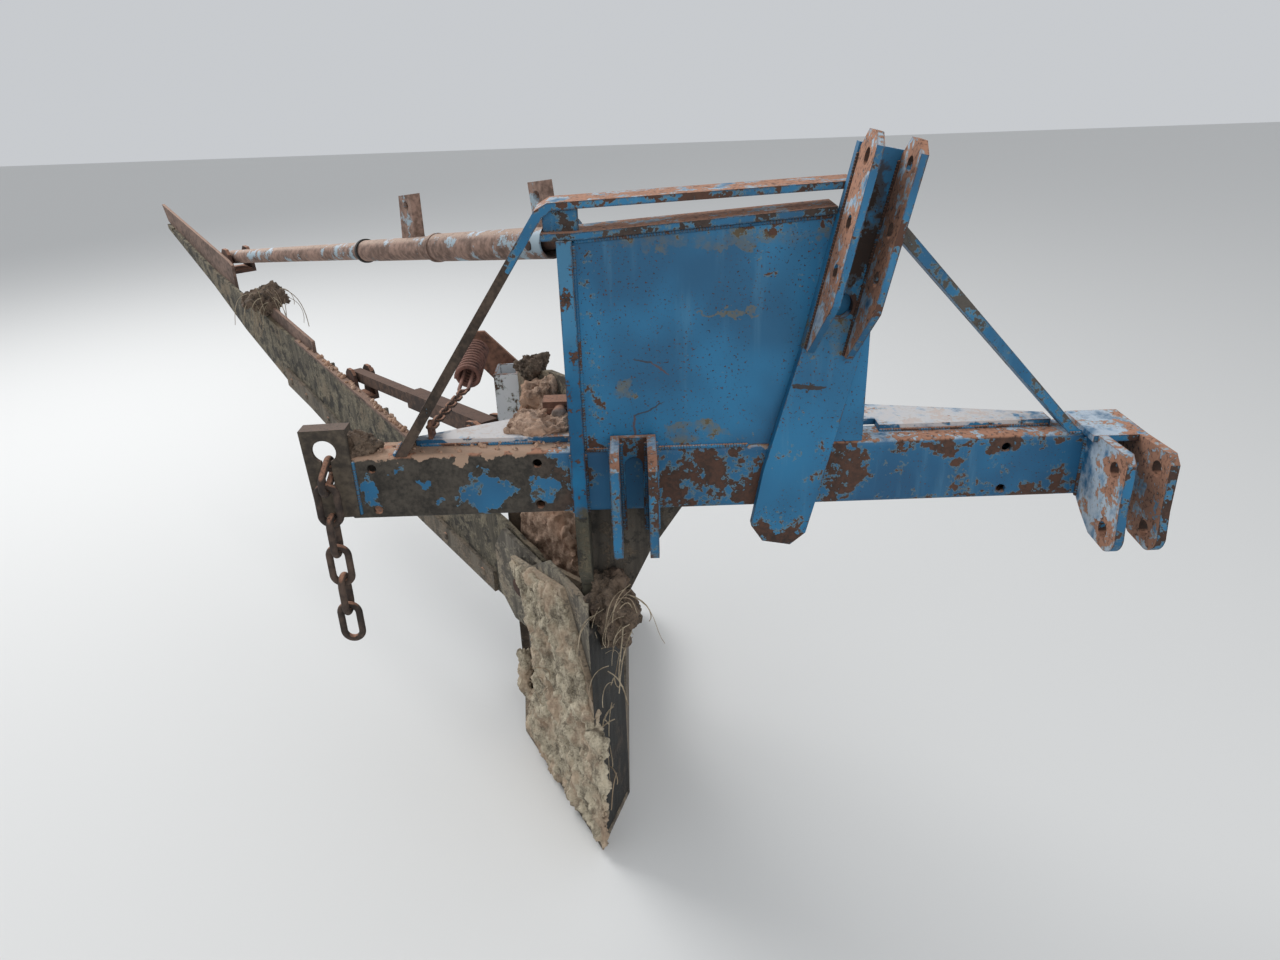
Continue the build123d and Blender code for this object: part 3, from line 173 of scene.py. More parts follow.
def painted(name, seed, bare, worn=(), stains=(), bares=(), top=0.06, specky=0.0, left=False,
            coat=(DEEP_BLUE, SKY_BLUE, CHALK_BLUE)):
    """Faded blue paint, chipped to rust: bare is 0 where a tenth is gone, 0.1 for half, 0.2 for nearly all.
    worn has more gone in a spot, stains has dirt or painted highlight over it, and bares another colour of
    metal.
    Faces that look up, and with left set those that look left, are paler and oranger: sun bleaching and
    painted sunlight."""
    material, wire, shader = finish_on(name)
    place = wire.add("TexCoord", {}, out="Object")
    about = ragged(place, 0.022)
    beside = ragged(place, 0.005)
    bleach_and_sunlight = bleached_and_lit(wire, left)
    broad = grain(place, 5.0, seed, 2.0)
    patches = grain(place, 24.0, seed + 3, 6.0, 0.62)
    fine = grain(place, 150.0, seed + 5, 3.0)
    streaks = grain(place, 20.0, seed + 8, 4.0, 0.6, (1.0, 1.0, 0.12))
    gone = patches * 0.72 + fine * 0.28 + (broad - 0.5) * 0.22 + bare + bleach_and_sunlight * top
    gone = gone + corner(wire, 0.006) * 0.10
    for centre, size, amount in worn:
        gone = gone + spot(about, centre, size) * amount
    specks = step(grain(place, 280.0, seed + 1, 1.0), 0.690 - specky * 0.2, 0.715 - specky * 0.2)
    specks = specks * step(grain(place, 9.0, seed + 2), 0.50 - specky, 0.62 - specky)
    chipped = step(gone, 0.600, 0.612) | specks
    paint = mix(step(broad, 0.34, 0.66), coat[0], coat[1])
    paint = mix(step(streaks, 0.54, 0.76) * 0.40, paint, coat[2])
    # Paler paint where faces look up or left: sun bleaching and painted sunlight.
    paint = mix(bleach_and_sunlight * step(patches * 0.6 + streaks * 0.4, 0.35, 0.50) * 0.85, paint, BLEACHED_AND_LIT_BLUE)
    paint = mix(step(gone, 0.555, 0.598) * 0.50, paint, UNDERCOAT)
    dark, light = DARK_RUST, BROWN_RUST
    for centre, size, shade in bares:
        here = spot(about, centre, size)
        dark = mix(here, dark, rgb(*[part * 0.6 for part in shade]))
        light = mix(here, light, rgb(*[part * 2.0 for part in shade]))
    metal = mix(step(fine * 0.35 + patches * 0.35 + streaks * 0.30, 0.38, 0.62), dark, light)
    # Oranger rust on those faces: rust, with painted sunlight.
    metal = mix(bleach_and_sunlight * step(fine, 0.25, 0.55), metal, ORANGE_RUST_AND_LIGHT)
    colour = mix(chipped, paint, metal)
    for centre, size, turn, amount, share, stain in stains:
        near = spot(beside if amount > 1.0 else about, centre, size, turn)
        soaked = step(near * amount + (patches - 0.5) * 1.2, 0.40, 0.72)
        colour = mix(soaked * share, colour, stain)
    join(colour, shader, "Base Color")
    join(0.52 + chipped * 0.32 + fine * 0.12, shader, "Roughness")
    relief(wire, shader, fine * (0.15 + chipped * 0.5) - chipped * 0.45 + patches * 0.1, 0.0018)
    return material


def dress(material, *names):
    """Gives CAD pieces their finish."""
    for name in names:
        mesh = nodes[name].data
        mesh.materials.clear()
        mesh.materials.append(material)
        mesh.polygons.foreach_set("material_index", [0] * len(mesh.polygons))


dress(painted("beam_paint", 1.3, -0.005, [
    # centre, half size, amount more than elsewhere
    ((-0.260, 0.040, 0.870), (0.270, 0.150, 0.140), 0.300),
    ((-0.174, 0.000, 0.859), (0.056, 0.100, 0.042), -0.265),
    ((-0.070, 0.000, 0.865), (0.030, 0.100, 0.030), -0.265),
    ((-0.385, 0.000, 0.866), (0.018, 0.100, 0.040), -0.240),
    ((-0.280, 0.000, 0.882), (0.010, 0.100, 0.009), -0.300),
    ((-0.328, 0.000, 0.906), (0.010, 0.100, 0.009), -0.300),
    ((-0.258, 0.000, 0.844), (0.018, 0.100, 0.010), -0.240),
    ((0.245, 0.000, 0.862), (0.110, 0.100, 0.070), 0.125),
    ((0.484, 0.000, 0.872), (0.045, 0.100, 0.060), 0.170),
    ((0.720, 0.000, 0.921), (0.220, 0.100, 0.014), 0.110),
    ((0.680, 0.000, 0.903), (0.035, 0.100, 0.022), 0.090),
    ((0.724, 0.000, 0.830), (0.040, 0.100, 0.020), 0.110),
    ((0.870, 0.000, 0.832), (0.060, 0.100, 0.022), 0.110),
    ((0.720, 0.000, 0.816), (0.220, 0.100, 0.010), 0.100),
    ((0.700, 0.000, 0.938), (0.230, 0.030, 0.012), 0.060),
], [
    # centre, half size, turn, amount, share, colour
    ((-0.230, 0.040, 0.938), (0.240, 0.070, 0.016), 0.0, 0.85, 0.85, PINK_EARTH),
    ((0.245, 0.040, 0.937), (0.240, 0.070, 0.010), 0.0, 0.45, 0.80, PINK_EARTH),
], [
    # centre, half size, colour of the bare metal
    ((-0.260, 0.040, 0.870), (0.270, 0.150, 0.140), BARE_GREY),
], coat=(rgb(0.004, 0.070, 0.160), rgb(0.007, 0.118, 0.250), CHALK_BLUE)), "cross_beam")


# Leg: a 25 mm plate on edge, blue above and grey with dried earth towards its foot.
# Knee gusset: welded under the beam beside it, dark with dirt.
def muddy(name, seed, paint_above=None, earth=0.0, moss=0.0, steel=(0.075, 0.062, 0.048),
          soil=(0.300, 0.245, 0.175)):
    """Dried earth over scoured steel. Above paint_above, in metres, blue paint is left."""
    material, wire, shader = finish_on(name)
    place = wire.add("TexCoord", {}, out="Object")
    up = bleached_and_lit(wire)
    broad = grain(place, 7.0, seed, 3.0)
    lumps = grain(place, 30.0, seed + 2, 7.0, 0.62)
    fine = grain(place, 170.0, seed + 4, 3.0, 0.6)
    scores = grain(place, 36.0, seed + 6, 4.0, 0.6, (1.0, 1.0, 0.10))
    cover = lumps * 0.55 + fine * 0.20 + scores * 0.25 + (broad - 0.5) * 0.3 + earth + up * 0.05
    caked = step(cover, 0.46, 0.57)
    metal = mix(step(scores, 0.36, 0.64), rgb(*steel), rgb(*[part * 2.1 for part in steel]))
    dust = mix(step(fine, 0.32, 0.68), rgb(*[part * 0.55 for part in soil]), rgb(*soil))
    dust = mix(step(broad, 0.50, 0.70) * 0.5, dust, rgb(soil[0] * 0.85, soil[1] * 0.68, soil[2] * 0.62))
    colour = mix(caked, metal, dust)
    dark = step(grain(place, 26.0, seed + 9, 8.0, 0.68), 0.60 - moss, 0.67 - moss)
    colour = mix(dark * 0.85, colour, rgb(0.024, 0.021, 0.017))
    height = caked * (0.35 + lumps * 0.6) + fine * 0.35 - dark * 0.15
    if paint_above is not None:
        level = wire.add("SeparateXYZ", {0: place}, out="Z") + (lumps - 0.5) * 0.12
        shown = step(level, paint_above - 0.01, paint_above + 0.03)
        chips = grain(place, 30.0, seed + 7, 6.0, 0.6) * 0.7 + fine * 0.3 + corner(wire, 0.006) * 0.1
        chips = step(chips, 0.555, 0.570)
        paint = mix(step(broad, 0.35, 0.65), DEEP_BLUE, SKY_BLUE)
        paint = mix(step(level, 1.02, 1.25) * 0.55, paint, CHALK_BLUE)
        # Paint on faces that look up is paler: sun bleaching and painted sunlight.
        paint = mix(up * 0.7, paint, BLEACHED_AND_LIT_BLUE)
        paint = mix(chips, paint, mix(step(fine, 0.4, 0.6), DARK_RUST, BROWN_RUST))
        colour = mix(shown, colour, paint)
        height = height * (1.0 - shown) + shown * (fine * 0.2 - chips * 0.4)
    join(colour, shader, "Base Color")
    join(0.80 + fine * 0.15, shader, "Roughness")
    relief(wire, shader, height, 0.004, 0.8)
    return material


PAINT_ENDS = 0.815
dress(muddy("leg_finish", 4.1, PAINT_ENDS, -0.03, 0.04, (0.038, 0.035, 0.024), (0.120, 0.104, 0.068)),
      "leg_plate")
dress(muddy("knee_finish", 6.4, None, -0.05, 0.08, (0.040, 0.034, 0.027), (0.130, 0.100, 0.070)),
      "knee_gusset")

# Face plate: broad sheet between the leg and the mast, with rust creeping in from its edges.
# Its top bar is a flat welded along the top.
OLIVE_STAIN = rgb(0.120, 0.105, 0.060)
dress(painted("face_paint", 9.2, -0.075, [
    ((0.260, 0.000, 1.328), (0.300, 0.100, 0.030), 0.120),
    ((0.036, 0.000, 1.120), (0.014, 0.100, 0.220), 0.105),
    ((0.070, 0.000, 1.290), (0.050, 0.100, 0.040), 0.090),
    ((0.250, 0.000, 0.945), (0.280, 0.100, 0.012), 0.090),
    ((0.335, 0.000, 1.215), (0.025, 0.100, 0.030), 0.080),
    ((0.094, 0.000, 1.045), (0.030, 0.100, 0.030), 0.070),
    ((0.240, 0.000, 0.964), (0.040, 0.100, 0.014), 0.120),
], [
    ((0.272, 0.000, 1.183), (0.060, 0.100, 0.006), 0.0, 0.72, 0.70, OLIVE_STAIN),
    ((0.250, 0.000, 1.300), (0.260, 0.100, 0.020), 0.0, 0.52, 0.60, OLIVE_STAIN),
    ((0.218, 0.000, 0.964), (0.080, 0.100, 0.022), 0.0, 0.60, 0.70, OLIVE_STAIN),
    ((0.089, 0.000, 1.043), (0.020, 0.100, 0.022), 0.0, 0.55, 0.65, OLIVE_STAIN),
    ((0.122, 0.000, 1.099), (0.017, 0.100, 0.0020), 0.15, 1.2, 0.75, DARK_RUST),
    ((0.151, 0.000, 1.084), (0.023, 0.100, 0.0020), 0.70, 1.2, 0.75, BROWN_RUST),
    ((0.131, 0.000, 1.009), (0.032, 0.100, 0.0020), -0.42, 1.2, 0.75, DARK_RUST),
    ((0.105, 0.000, 0.976), (0.0022, 0.100, 0.026), 0.0, 1.2, 0.75, BROWN_RUST),
], specky=0.12), "face_plate")
dress(painted("bar_paint", 12.8, 0.110, bares=[
    ((0.200, 0.000, 1.325), (0.400, 0.200, 0.060), (0.030, 0.021, 0.017)),
]), "face_top_bar")

# Mast: a tapered flat leaning over the beam, and two lugs along it with three pairs of top link holes.
# The lugs' front edges and the hollow between them are chipped most and darkest; faces of the lugs that
# look left are paler as painted sunlight.
dress(painted("mast_paint", 15.7, -0.060, [
    ((0.440, -0.020, 1.136), (0.070, 0.100, 0.045), 0.140),
    ((0.480, -0.020, 1.300), (0.030, 0.100, 0.150), 0.180),
    ((0.362, -0.020, 0.778), (0.060, 0.100, 0.034), 0.160),
    ((0.360, -0.020, 0.745), (0.080, 0.100, 0.020), 0.200),
    ((0.462, -0.020, 1.000), (0.016, 0.100, 0.040), 0.100),
    ((0.436, -0.020, 0.900), (0.012, 0.100, 0.060), 0.080),
], [
    ((0.408, 0.000, 1.048), (0.034, 0.100, 0.0050), 0.05, 1.1, 0.95, DARK_RUST),
    ((0.416, 0.000, 1.050), (0.012, 0.100, 0.0100), 0.0, 0.9, 0.95, DARK_RUST),
    ((0.440, 0.000, 1.136), (0.075, 0.100, 0.045), 0.0, 0.60, 0.75, OLIVE_STAIN),
    ((0.488, 0.000, 1.300), (0.026, 0.100, 0.130), 0.20, 0.75, 0.85, DARK_RUST),
], specky=0.10), "mast_plate")
# The lugs' faces that look up or left are paler and oranger: sun bleaching and painted sunlight.
dress(painted("mast_lug_paint", 18.1, 0.030, [
    ((0.468, -0.072, 1.250), (0.075, 0.024, 0.024), 0.300),
    ((0.484, -0.072, 1.325), (0.075, 0.024, 0.024), 0.300),
    ((0.505, -0.072, 1.423), (0.075, 0.024, 0.024), 0.300),
], bares=[
    ((0.486, -0.072, 1.330), (0.075, 0.021, 0.200), (0.036, 0.020, 0.014)),
], top=0.10, left=True), "mast_lugs")

# Braces: two flat bars from the mast down to the ends of the beam.
# The left one is dark and brown along its slope, and pale on top where it lies level: sun-bleached paint
# with painted sunlight.
dress(painted("left_brace_paint", 21.5, 0.030, [
    ((0.180, 0.040, 1.385), (0.340, 0.100, 0.040), 0.050),
    ((-0.210, 0.030, 1.090), (0.190, 0.150, 0.270), 0.230),
], bares=[
    ((-0.200, 0.030, 1.110), (0.200, 0.150, 0.290), (0.040, 0.028, 0.020)),
], top=0.05), "brace_left")
dress(painted("right_brace_paint", 24.9, 0.045, bares=[
    ((0.700, 0.030, 1.130), (0.300, 0.150, 0.300), (0.045, 0.040, 0.034)),
]), "brace_right")

# Gussets: tapered plates lying on the beam, bleached by the sun and orange with rust. Near-white patches on
# their flat tops are painted highlight of sunlight and sky glare.
dress(painted("gusset_paint", 27.3, 0.020, stains=[
    ((-0.040, 0.110, 0.948), (0.075, 0.080, 0.020), 0.0, 0.95, 0.95, PINK_EARTH),
    # These two near-white patches are painted highlight on the flat tops.
    ((-0.160, 0.100, 0.948), (0.140, 0.100, 0.020), 0.0, 0.75, 0.80, rgb(0.640, 0.590, 0.560)),
    ((0.690, 0.090, 0.948), (0.200, 0.080, 0.020), 0.0, 0.70, 0.75, rgb(0.640, 0.590, 0.560)),
], top=0.030), "beam_gussets")

# Hitch: clevises for the lower link pins, one at the beam's right end and one beside the leg.
# The outer plate at the right has lost nearly all its paint.
# Faces that look up or left are paler and oranger: sun bleaching and painted sunlight.
dress(painted("right_hitch_paint", 30.6, 0.000, [
    ((0.997, -0.060, 0.880), (0.024, 0.200, 0.160), 0.110),
    ((0.925, -0.130, 0.850), (0.020, 0.045, 0.110), 0.090),
    ((0.960, -0.112, 0.913), (0.090, 0.027, 0.027), 0.300),
    ((0.960, -0.112, 0.799), (0.090, 0.027, 0.027), 0.300),
], top=0.03, left=True), "hitch_right_lugs", "hitch_right_bridge")
dress(painted("centre_hitch_paint", 33.2, 0.050, [
    ((0.132, -0.090, 0.880), (0.020, 0.050, 0.100), 0.070),
    ((0.100, -0.084, 0.913), (0.080, 0.027, 0.027), 0.300),
    ((0.100, -0.084, 0.799), (0.080, 0.027, 0.027), 0.300),
    ((0.100, -0.010, 0.870), (0.060, 0.008, 0.120), 0.060),
]), "hitch_centre_lugs", "hitch_centre_back")


# Keyhole plate and hanging chain: bare forged steel, dark brown all over.
# The chain's first link is held in the slot by a toggle behind the plate.
def rusty(name, seed, dark=DARK_RUST, light=BROWN_RUST, flakes=0.5, paint=0.0, coat=CHALK_BLUE,
          top_rust_and_light=ORANGE_RUST_AND_LIGHT):
    """Bare rusty steel. paint is the offset for what is left of a coat: 0 leaves none."""
    material, wire, shader = finish_on(name)
    place = wire.add("TexCoord", {}, out="Object")
    up = bleached_and_lit(wire)
    broad = grain(place, 9.0, seed, 3.0)
    scale = grain(place, 60.0, seed + 2, 6.0, 0.6)
    fine = grain(place, 240.0, seed + 4, 3.0, 0.6)
    colour = mix(step(scale * 0.6 + broad * 0.4, 0.38, 0.62), dark, light)
    # Faces that look up take the top colour: rust, made lighter as painted sunlight.
    colour = mix(up * step(fine, 0.25, 0.55) * 0.8, colour, top_rust_and_light)
    height = scale * flakes + fine * 0.4
    if paint:
        left = step(grain(place, 16.0, seed + 6, 6.0, 0.6) * 0.8 + fine * 0.2 + paint, 0.56, 0.60)
        # What is left of the coat is paler on faces that look up: sun bleaching and painted sunlight.
        colour = mix(left, colour, mix(up * 0.7, coat, BLEACHED_AND_LIT_BLUE))
        height = height * (1.0 - left * 0.7) + left * 0.5
    join(colour, shader, "Base Color")
    join(0.72 + fine * 0.22, shader, "Roughness")
    relief(wire, shader, height, 0.0016, 0.8)
    return material


# The keyhole plate's top faces are lighter: rust with painted sunlight.
dress(rusty("keyhole_rust", 36.8, rgb(0.030, 0.023, 0.017), rgb(0.095, 0.074, 0.052),
            top_rust_and_light=rgb(0.160, 0.105, 0.080)), "chain_keyhole_plate")
dress(rusty("chain_rust", 39.4, rgb(0.022, 0.015, 0.012), rgb(0.085, 0.055, 0.040)), "hanging_chain")

# Clamp, spring anchors and small chain: all bare and rusty behind the beam.
# The clamp's bolt has a worn round head.
dress(rusty("clamp_rust", 42.0, rgb(0.070, 0.034, 0.023), rgb(0.230, 0.110, 0.070)),
      "clamp_stack", "spring_anchors")
dress(rusty("spring_chain_rust", 44.3, rgb(0.030, 0.020, 0.015), rgb(0.120, 0.070, 0.048)), "spring_chain")


def alone(name):
    """Deselects everything but the active object and names it."""
    piece = bpy.context.object
    bpy.ops.object.select_all(action="DESELECT")
    piece.select_set(True)
    piece.name = name
    piece.data.name = name
    return piece


def settle(piece):
    """Puts a piece's place into its mesh."""
    bpy.ops.object.select_all(action="DESELECT")
    bpy.context.view_layer.objects.active = piece
    piece.select_set(True)
    bpy.ops.object.transform_apply(location=True, rotation=True, scale=True)


def keep(piece, material, body):
    """The finish of a new piece, and the body it moves with."""
    piece.data.materials.clear()
    piece.data.materials.append(material)
    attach(piece, body)


bpy.ops.object.select_all(action="DESELECT")
bpy.ops.mesh.primitive_uv_sphere_add(segments=24, ring_count=12, radius=0.015,
                                     location=(-0.038, 0.106, 0.965))
bolt_head = alone("clamp_bolt_head")
bolt_head.scale = (1.0, 0.62, 1.0)
settle(bolt_head)
bpy.ops.object.mode_set(mode="EDIT")
bpy.ops.mesh.select_all(action="SELECT")
bpy.ops.mesh.bisect(plane_co=(0.0, 0.110, 0.965), plane_no=(0.0, 1.0, 0.0), use_fill=True, clear_outer=True)
bpy.ops.object.mode_set(mode="OBJECT")
bpy.ops.object.shade_smooth_by_angle(angle=math.radians(40))
keep(bolt_head, rusty("bolt_head_rust", 43.1, rgb(0.150, 0.115, 0.095), rgb(0.380, 0.310, 0.270)),
     "frame")

# Tension spring: round wire wound in eleven turns, held by a nut and rod through its arm.
# Two straight wires run out of its lower end and close in a loop for the chain.
# The spring's top faces are lighter: rust with painted sunlight.
spring_rust = rusty("spring_rust", 46.2, rgb(0.050, 0.022, 0.017), rgb(0.190, 0.085, 0.062),
                    top_rust_and_light=rgb(0.260, 0.130, 0.095))
SPRING_TURNS = 11
SPRING_RISE = 0.0136
SPRING_RADIUS = 0.0245
SPRING_WIRE = 0.0052
SPRING_FOOT = Vector((-0.262, 0.372, 0.934))
SPRING_HEAD = Vector((-0.262, 0.602, 0.961))
spring_way = (SPRING_HEAD - SPRING_FOOT).normalized()
spring_turn = spring_way.to_track_quat("Z", "Y")
bpy.ops.mesh.primitive_circle_add(vertices=10, radius=SPRING_WIRE, location=(SPRING_RADIUS, 0, 0),
                                  rotation=(math.pi / 2, 0, 0))
spring = alone("spring_coil")
settle(spring)
winding = spring.modifiers.new("winding", "SCREW")
winding.axis = "Z"
winding.angle = math.tau
winding.screw_offset = SPRING_RISE
winding.iterations = SPRING_TURNS
winding.steps = winding.render_steps = 22
bpy.ops.object.modifier_apply(modifier="winding")
bpy.ops.object.mode_set(mode="EDIT")
bpy.ops.mesh.select_all(action="SELECT")
bpy.ops.mesh.remove_doubles(threshold=0.00005)
bpy.ops.mesh.fill_holes(sides=0)
bpy.ops.mesh.select_all(action="SELECT")
bpy.ops.mesh.normals_make_consistent(inside=False)
bpy.ops.object.mode_set(mode="OBJECT")
bpy.ops.object.shade_smooth_by_angle(angle=math.radians(40))
spring.rotation_mode = "QUATERNION"
spring.rotation_quaternion = spring_turn
spring.location = SPRING_FOOT + spring_way * 0.044
settle(spring)
keep(spring, spring_rust, "frame")
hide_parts("tension_spring")


def wire_piece(name, points, radius, sides=3):
    """A round wire bent through points of location, handle before and handle after."""
    bpy.ops.object.select_all(action="DESELECT")
    bpy.ops.curve.primitive_bezier_curve_add(location=(0, 0, 0))
    piece = alone(name)
    line = piece.data.splines[0]
    line.bezier_points.add(len(points) - 2)
    for point, (place, before, after) in zip(line.bezier_points, points):
        point.handle_left_type = point.handle_right_type = "FREE"
        point.co, point.handle_left, point.handle_right = place, before, after
    piece.data.resolution_u = 8
    piece.data.bevel_depth = radius
    piece.data.bevel_resolution = sides
    piece.data.use_fill_caps = True
    bpy.ops.object.convert(target="MESH")
    bpy.ops.object.mode_set(mode="EDIT")
    bpy.ops.mesh.select_all(action="SELECT")
    bpy.ops.mesh.remove_doubles(threshold=0.00002)
    bpy.ops.mesh.normals_make_consistent(inside=False)
    bpy.ops.object.mode_set(mode="OBJECT")
    bpy.ops.object.shade_smooth_by_angle(angle=math.radians(50))
    return alone(name)


side = spring_way.cross(Vector((0, 0, 1))).normalized() * 0.010
inside = SPRING_FOOT + spring_way * 0.075
turn_at = SPRING_FOOT - spring_way * 0.013
round_end = -spring_way * 0.0132
hook = wire_piece("spring_hook", [
    (inside + side, inside + side, inside + side * 0.95 - spring_way * 0.02),
    (turn_at + side, turn_at + side + spring_way * 0.02, turn_at + side + round_end),
    (turn_at - side, turn_at - side + round_end, turn_at - side + spring_way * 0.02),
    (inside - side, inside - side * 0.95 - spring_way * 0.02, inside - side),
], 0.0042)
keep(hook, spring_rust, "frame")
rod_from = SPRING_FOOT + spring_way * 0.180
rod_to = SPRING_FOOT + spring_way * 0.268
rod = wire_piece("spring_rod", [
    (rod_from, rod_from, rod_from + spring_way * 0.02), (rod_to, rod_to - spring_way * 0.02, rod_to),
], 0.006, 4)
keep(rod, spring_rust, "frame")
bpy.ops.mesh.primitive_cylinder_add(vertices=6, radius=0.015, depth=0.012)
nut = alone("spring_nut")
nut.rotation_mode = "QUATERNION"
nut.rotation_quaternion = spring_turn
nut.location = SPRING_FOOT + spring_way * 0.251
rounding = nut.modifiers.new("rounding", "BEVEL")
rounding.width = 0.0012
bpy.ops.object.modifier_apply(modifier="rounding")
settle(nut)
keep(nut, spring_rust, "frame")

# Nose: share, shin and cheek plates about a cutting edge, on a sole and a long landside.
# Dried earth and roots are caked over the scoured steel.
dress(muddy("share_finish", 50.1, None, 0.045, 0.0, (0.100, 0.086, 0.066), (0.400, 0.335, 0.245)),
      "share_plate")
dress(muddy("shin_finish", 53.7, None, 0.00, 0.02, (0.085, 0.075, 0.060), (0.300, 0.265, 0.200)),
      "shin_plate", "front_mouldboard")
# The right cheek's steel and earth are made near black: painted shade.
dress(muddy("cheek_painted_shade", 56.2, None, -0.06, 0.07, (0.013, 0.013, 0.012), (0.060, 0.052, 0.042)),
      "right_cheek")
dress(muddy("landside_finish", 57.5, None, -0.02, 0.02), "landside", "sole_plate")
dress(muddy("frog_finish", 58.8, None, 0.03), "frog_webs", "rear_webs", "hinge_back_plate")


def earth(name, seed, dark, light, red):
    """Dry crumbly soil, with paler crust on its lumps, a redder heart, and painted shade: darker in the
    hollows of its bumps.
    """
    material, wire, shader = finish_on(name)
    place = wire.add("TexCoord", {}, out="Object")
    broad = grain(place, 9.0, seed, 3.0)
    clods = grain(place, 40.0, seed + 2, 6.0, 0.6, (1.0, 1.0, 0.55))
    fine = grain(place, 220.0, seed + 4, 4.0, 0.6)
    # Colour follows the clods of the bump: darker where they are low, as painted shade in the hollows.
    colour = mix(step(clods * 0.65 + fine * 0.35, 0.34, 0.62), dark, light)
    colour = mix(step(broad, 0.46, 0.62) * 0.6, colour, red)
    join(colour, shader, "Base Color")
    join(0.90 + fine * 0.08, shader, "Roughness")
    join(wire.add("Bump", {"Height": clods + fine * 0.4, "Distance": 0.008, "Strength": 0.9}),
         shader, "Normal")
    return material


def roughen(piece, rows):
    """Lumps over a piece: rows of noise size and depth in metres."""
    for count, (size, depth) in enumerate(rows):
        noise = bpy.data.textures.new(piece.name + str(count), "CLOUDS")
        noise.noise_scale = size
        noise.noise_depth = 3
        lumps = piece.modifiers.new("lumps", "DISPLACE")
        lumps.texture = noise
        lumps.texture_coords = "GLOBAL"
        lumps.strength = depth
        lumps.mid_level = 0.5
        bpy.ops.object.modifier_apply(modifier="lumps")


def even_out(piece, grid):
    """One closed skin of cells, grid metres wide, in place of a piece's own faces."""
    cells = piece.modifiers.new("cells", "REMESH")
    cells.mode = "VOXEL"
    cells.voxel_size = grid
    bpy.ops.object.modifier_apply(modifier="cells")


def joined(name, pieces):
    """Several pieces as one: the active one takes in the others."""
    for piece in pieces:
        piece.select_set(True)
    bpy.ops.object.join()
    return alone(name)


def trim(planes):
    """Cuts the active piece flat: rows of a point on the cut and the way that is cleared."""
    bpy.ops.object.mode_set(mode="EDIT")
    for point, way in planes:
        bpy.ops.mesh.select_all(action="SELECT")
        bpy.ops.mesh.bisect(plane_co=point, plane_no=way, use_fill=True, clear_outer=True)
    bpy.ops.object.mode_set(mode="OBJECT")


def crust(name, stands, heading, slabs, rough, grid, material, body):
    """Caked earth on an upright plate: stands is the plate's corner, heading the way it runs in degrees.
    slabs are rows of an outline in metres along it and up, and the depths behind and before its face."""
    slabs_made = []
    for outline, back, front in slabs:
        low = [min(point[axis] for point in outline) for axis in (0, 1)]
        high = [max(point[axis] for point in outline) for axis in (0, 1)]
        middle = ((low[0] + high[0]) / 2, (back + front) / 2, (low[1] + high[1]) / 2)
        bpy.ops.mesh.primitive_cube_add(size=1, location=middle)
        slab = alone(name)
        slab.scale = (high[0] - low[0], front - back, high[1] - low[1])
        settle(slab)
        trim([((here[0], 0, here[1]), (there[1] - here[1], 0, here[0] - there[0]))
              for here, there in zip(outline, outline[1:] + outline[:1])])
        slabs_made.append(slab)
    piece = joined(name, slabs_made)
    piece.rotation_euler = (0, 0, math.radians(heading))
    piece.location = stands
    settle(piece)
    even_out(piece, grid)
    roughen(piece, rough)
    bpy.ops.object.shade_smooth()
    keep(piece, material, body)


tan_earth = earth("tan_earth", 111.0, rgb(0.110, 0.090, 0.062), rgb(0.560, 0.490, 0.365),
                  rgb(0.440, 0.310, 0.215))
red_earth = earth("red_earth", 117.0, rgb(0.180, 0.105, 0.068), rgb(0.560, 0.390, 0.285),
                  rgb(0.460, 0.270, 0.175))
dark_earth = earth("dark_earth", 123.0, rgb(0.026, 0.020, 0.015), rgb(0.170, 0.122, 0.086),
                   rgb(0.120, 0.078, 0.054))
NOSE_CORNER = (0.0, -0.035, 0.0)
SHARE_HEADING = 117.0
crust("share_crust", NOSE_CORNER, SHARE_HEADING, [
    ([(-0.030, 0.022), (0.404, 0.016), (0.404, 0.100), (0.342, 0.212), (0.100, 0.335), (-0.030, 0.318)],
     -0.008, 0.010),
    ([(-0.030, 0.200), (0.342, 0.205), (0.318, 0.345), (0.200, 0.520), (0.140, 0.578), (0.040, 0.440)],
     -0.008, 0.008),
    ([(0.250, 0.340), (0.322, 0.338), (0.430, 0.508), (0.150, 0.580), (0.080, 0.500)], -0.008, 0.007),
    ([(0.372, 0.140), (0.404, 0.150), (0.410, 0.270), (0.385, 0.285)], -0.006, 0.016),
], [(0.055, 0.050), (0.018, 0.024), (0.007, 0.009)], 0.0045, tan_earth, "frame")


def clod(name, centre, size, rough, material, body="frame", cuts=(), again=()):
    """A lump of soil, flat where cuts lie on what carries it. again roughens the cuts."""
    bpy.ops.object.select_all(action="DESELECT")
    bpy.ops.mesh.primitive_ico_sphere_add(subdivisions=5, radius=1.0, location=centre)
    piece = alone(name)
    piece.scale = size
    settle(piece)
    roughen(piece, rough)
    trim(cuts)
    if again:
        even_out(piece, 0.006)
        roughen(piece, again)
    bpy.ops.object.shade_smooth_by_angle(angle=math.radians(60))
    keep(piece, material, body)


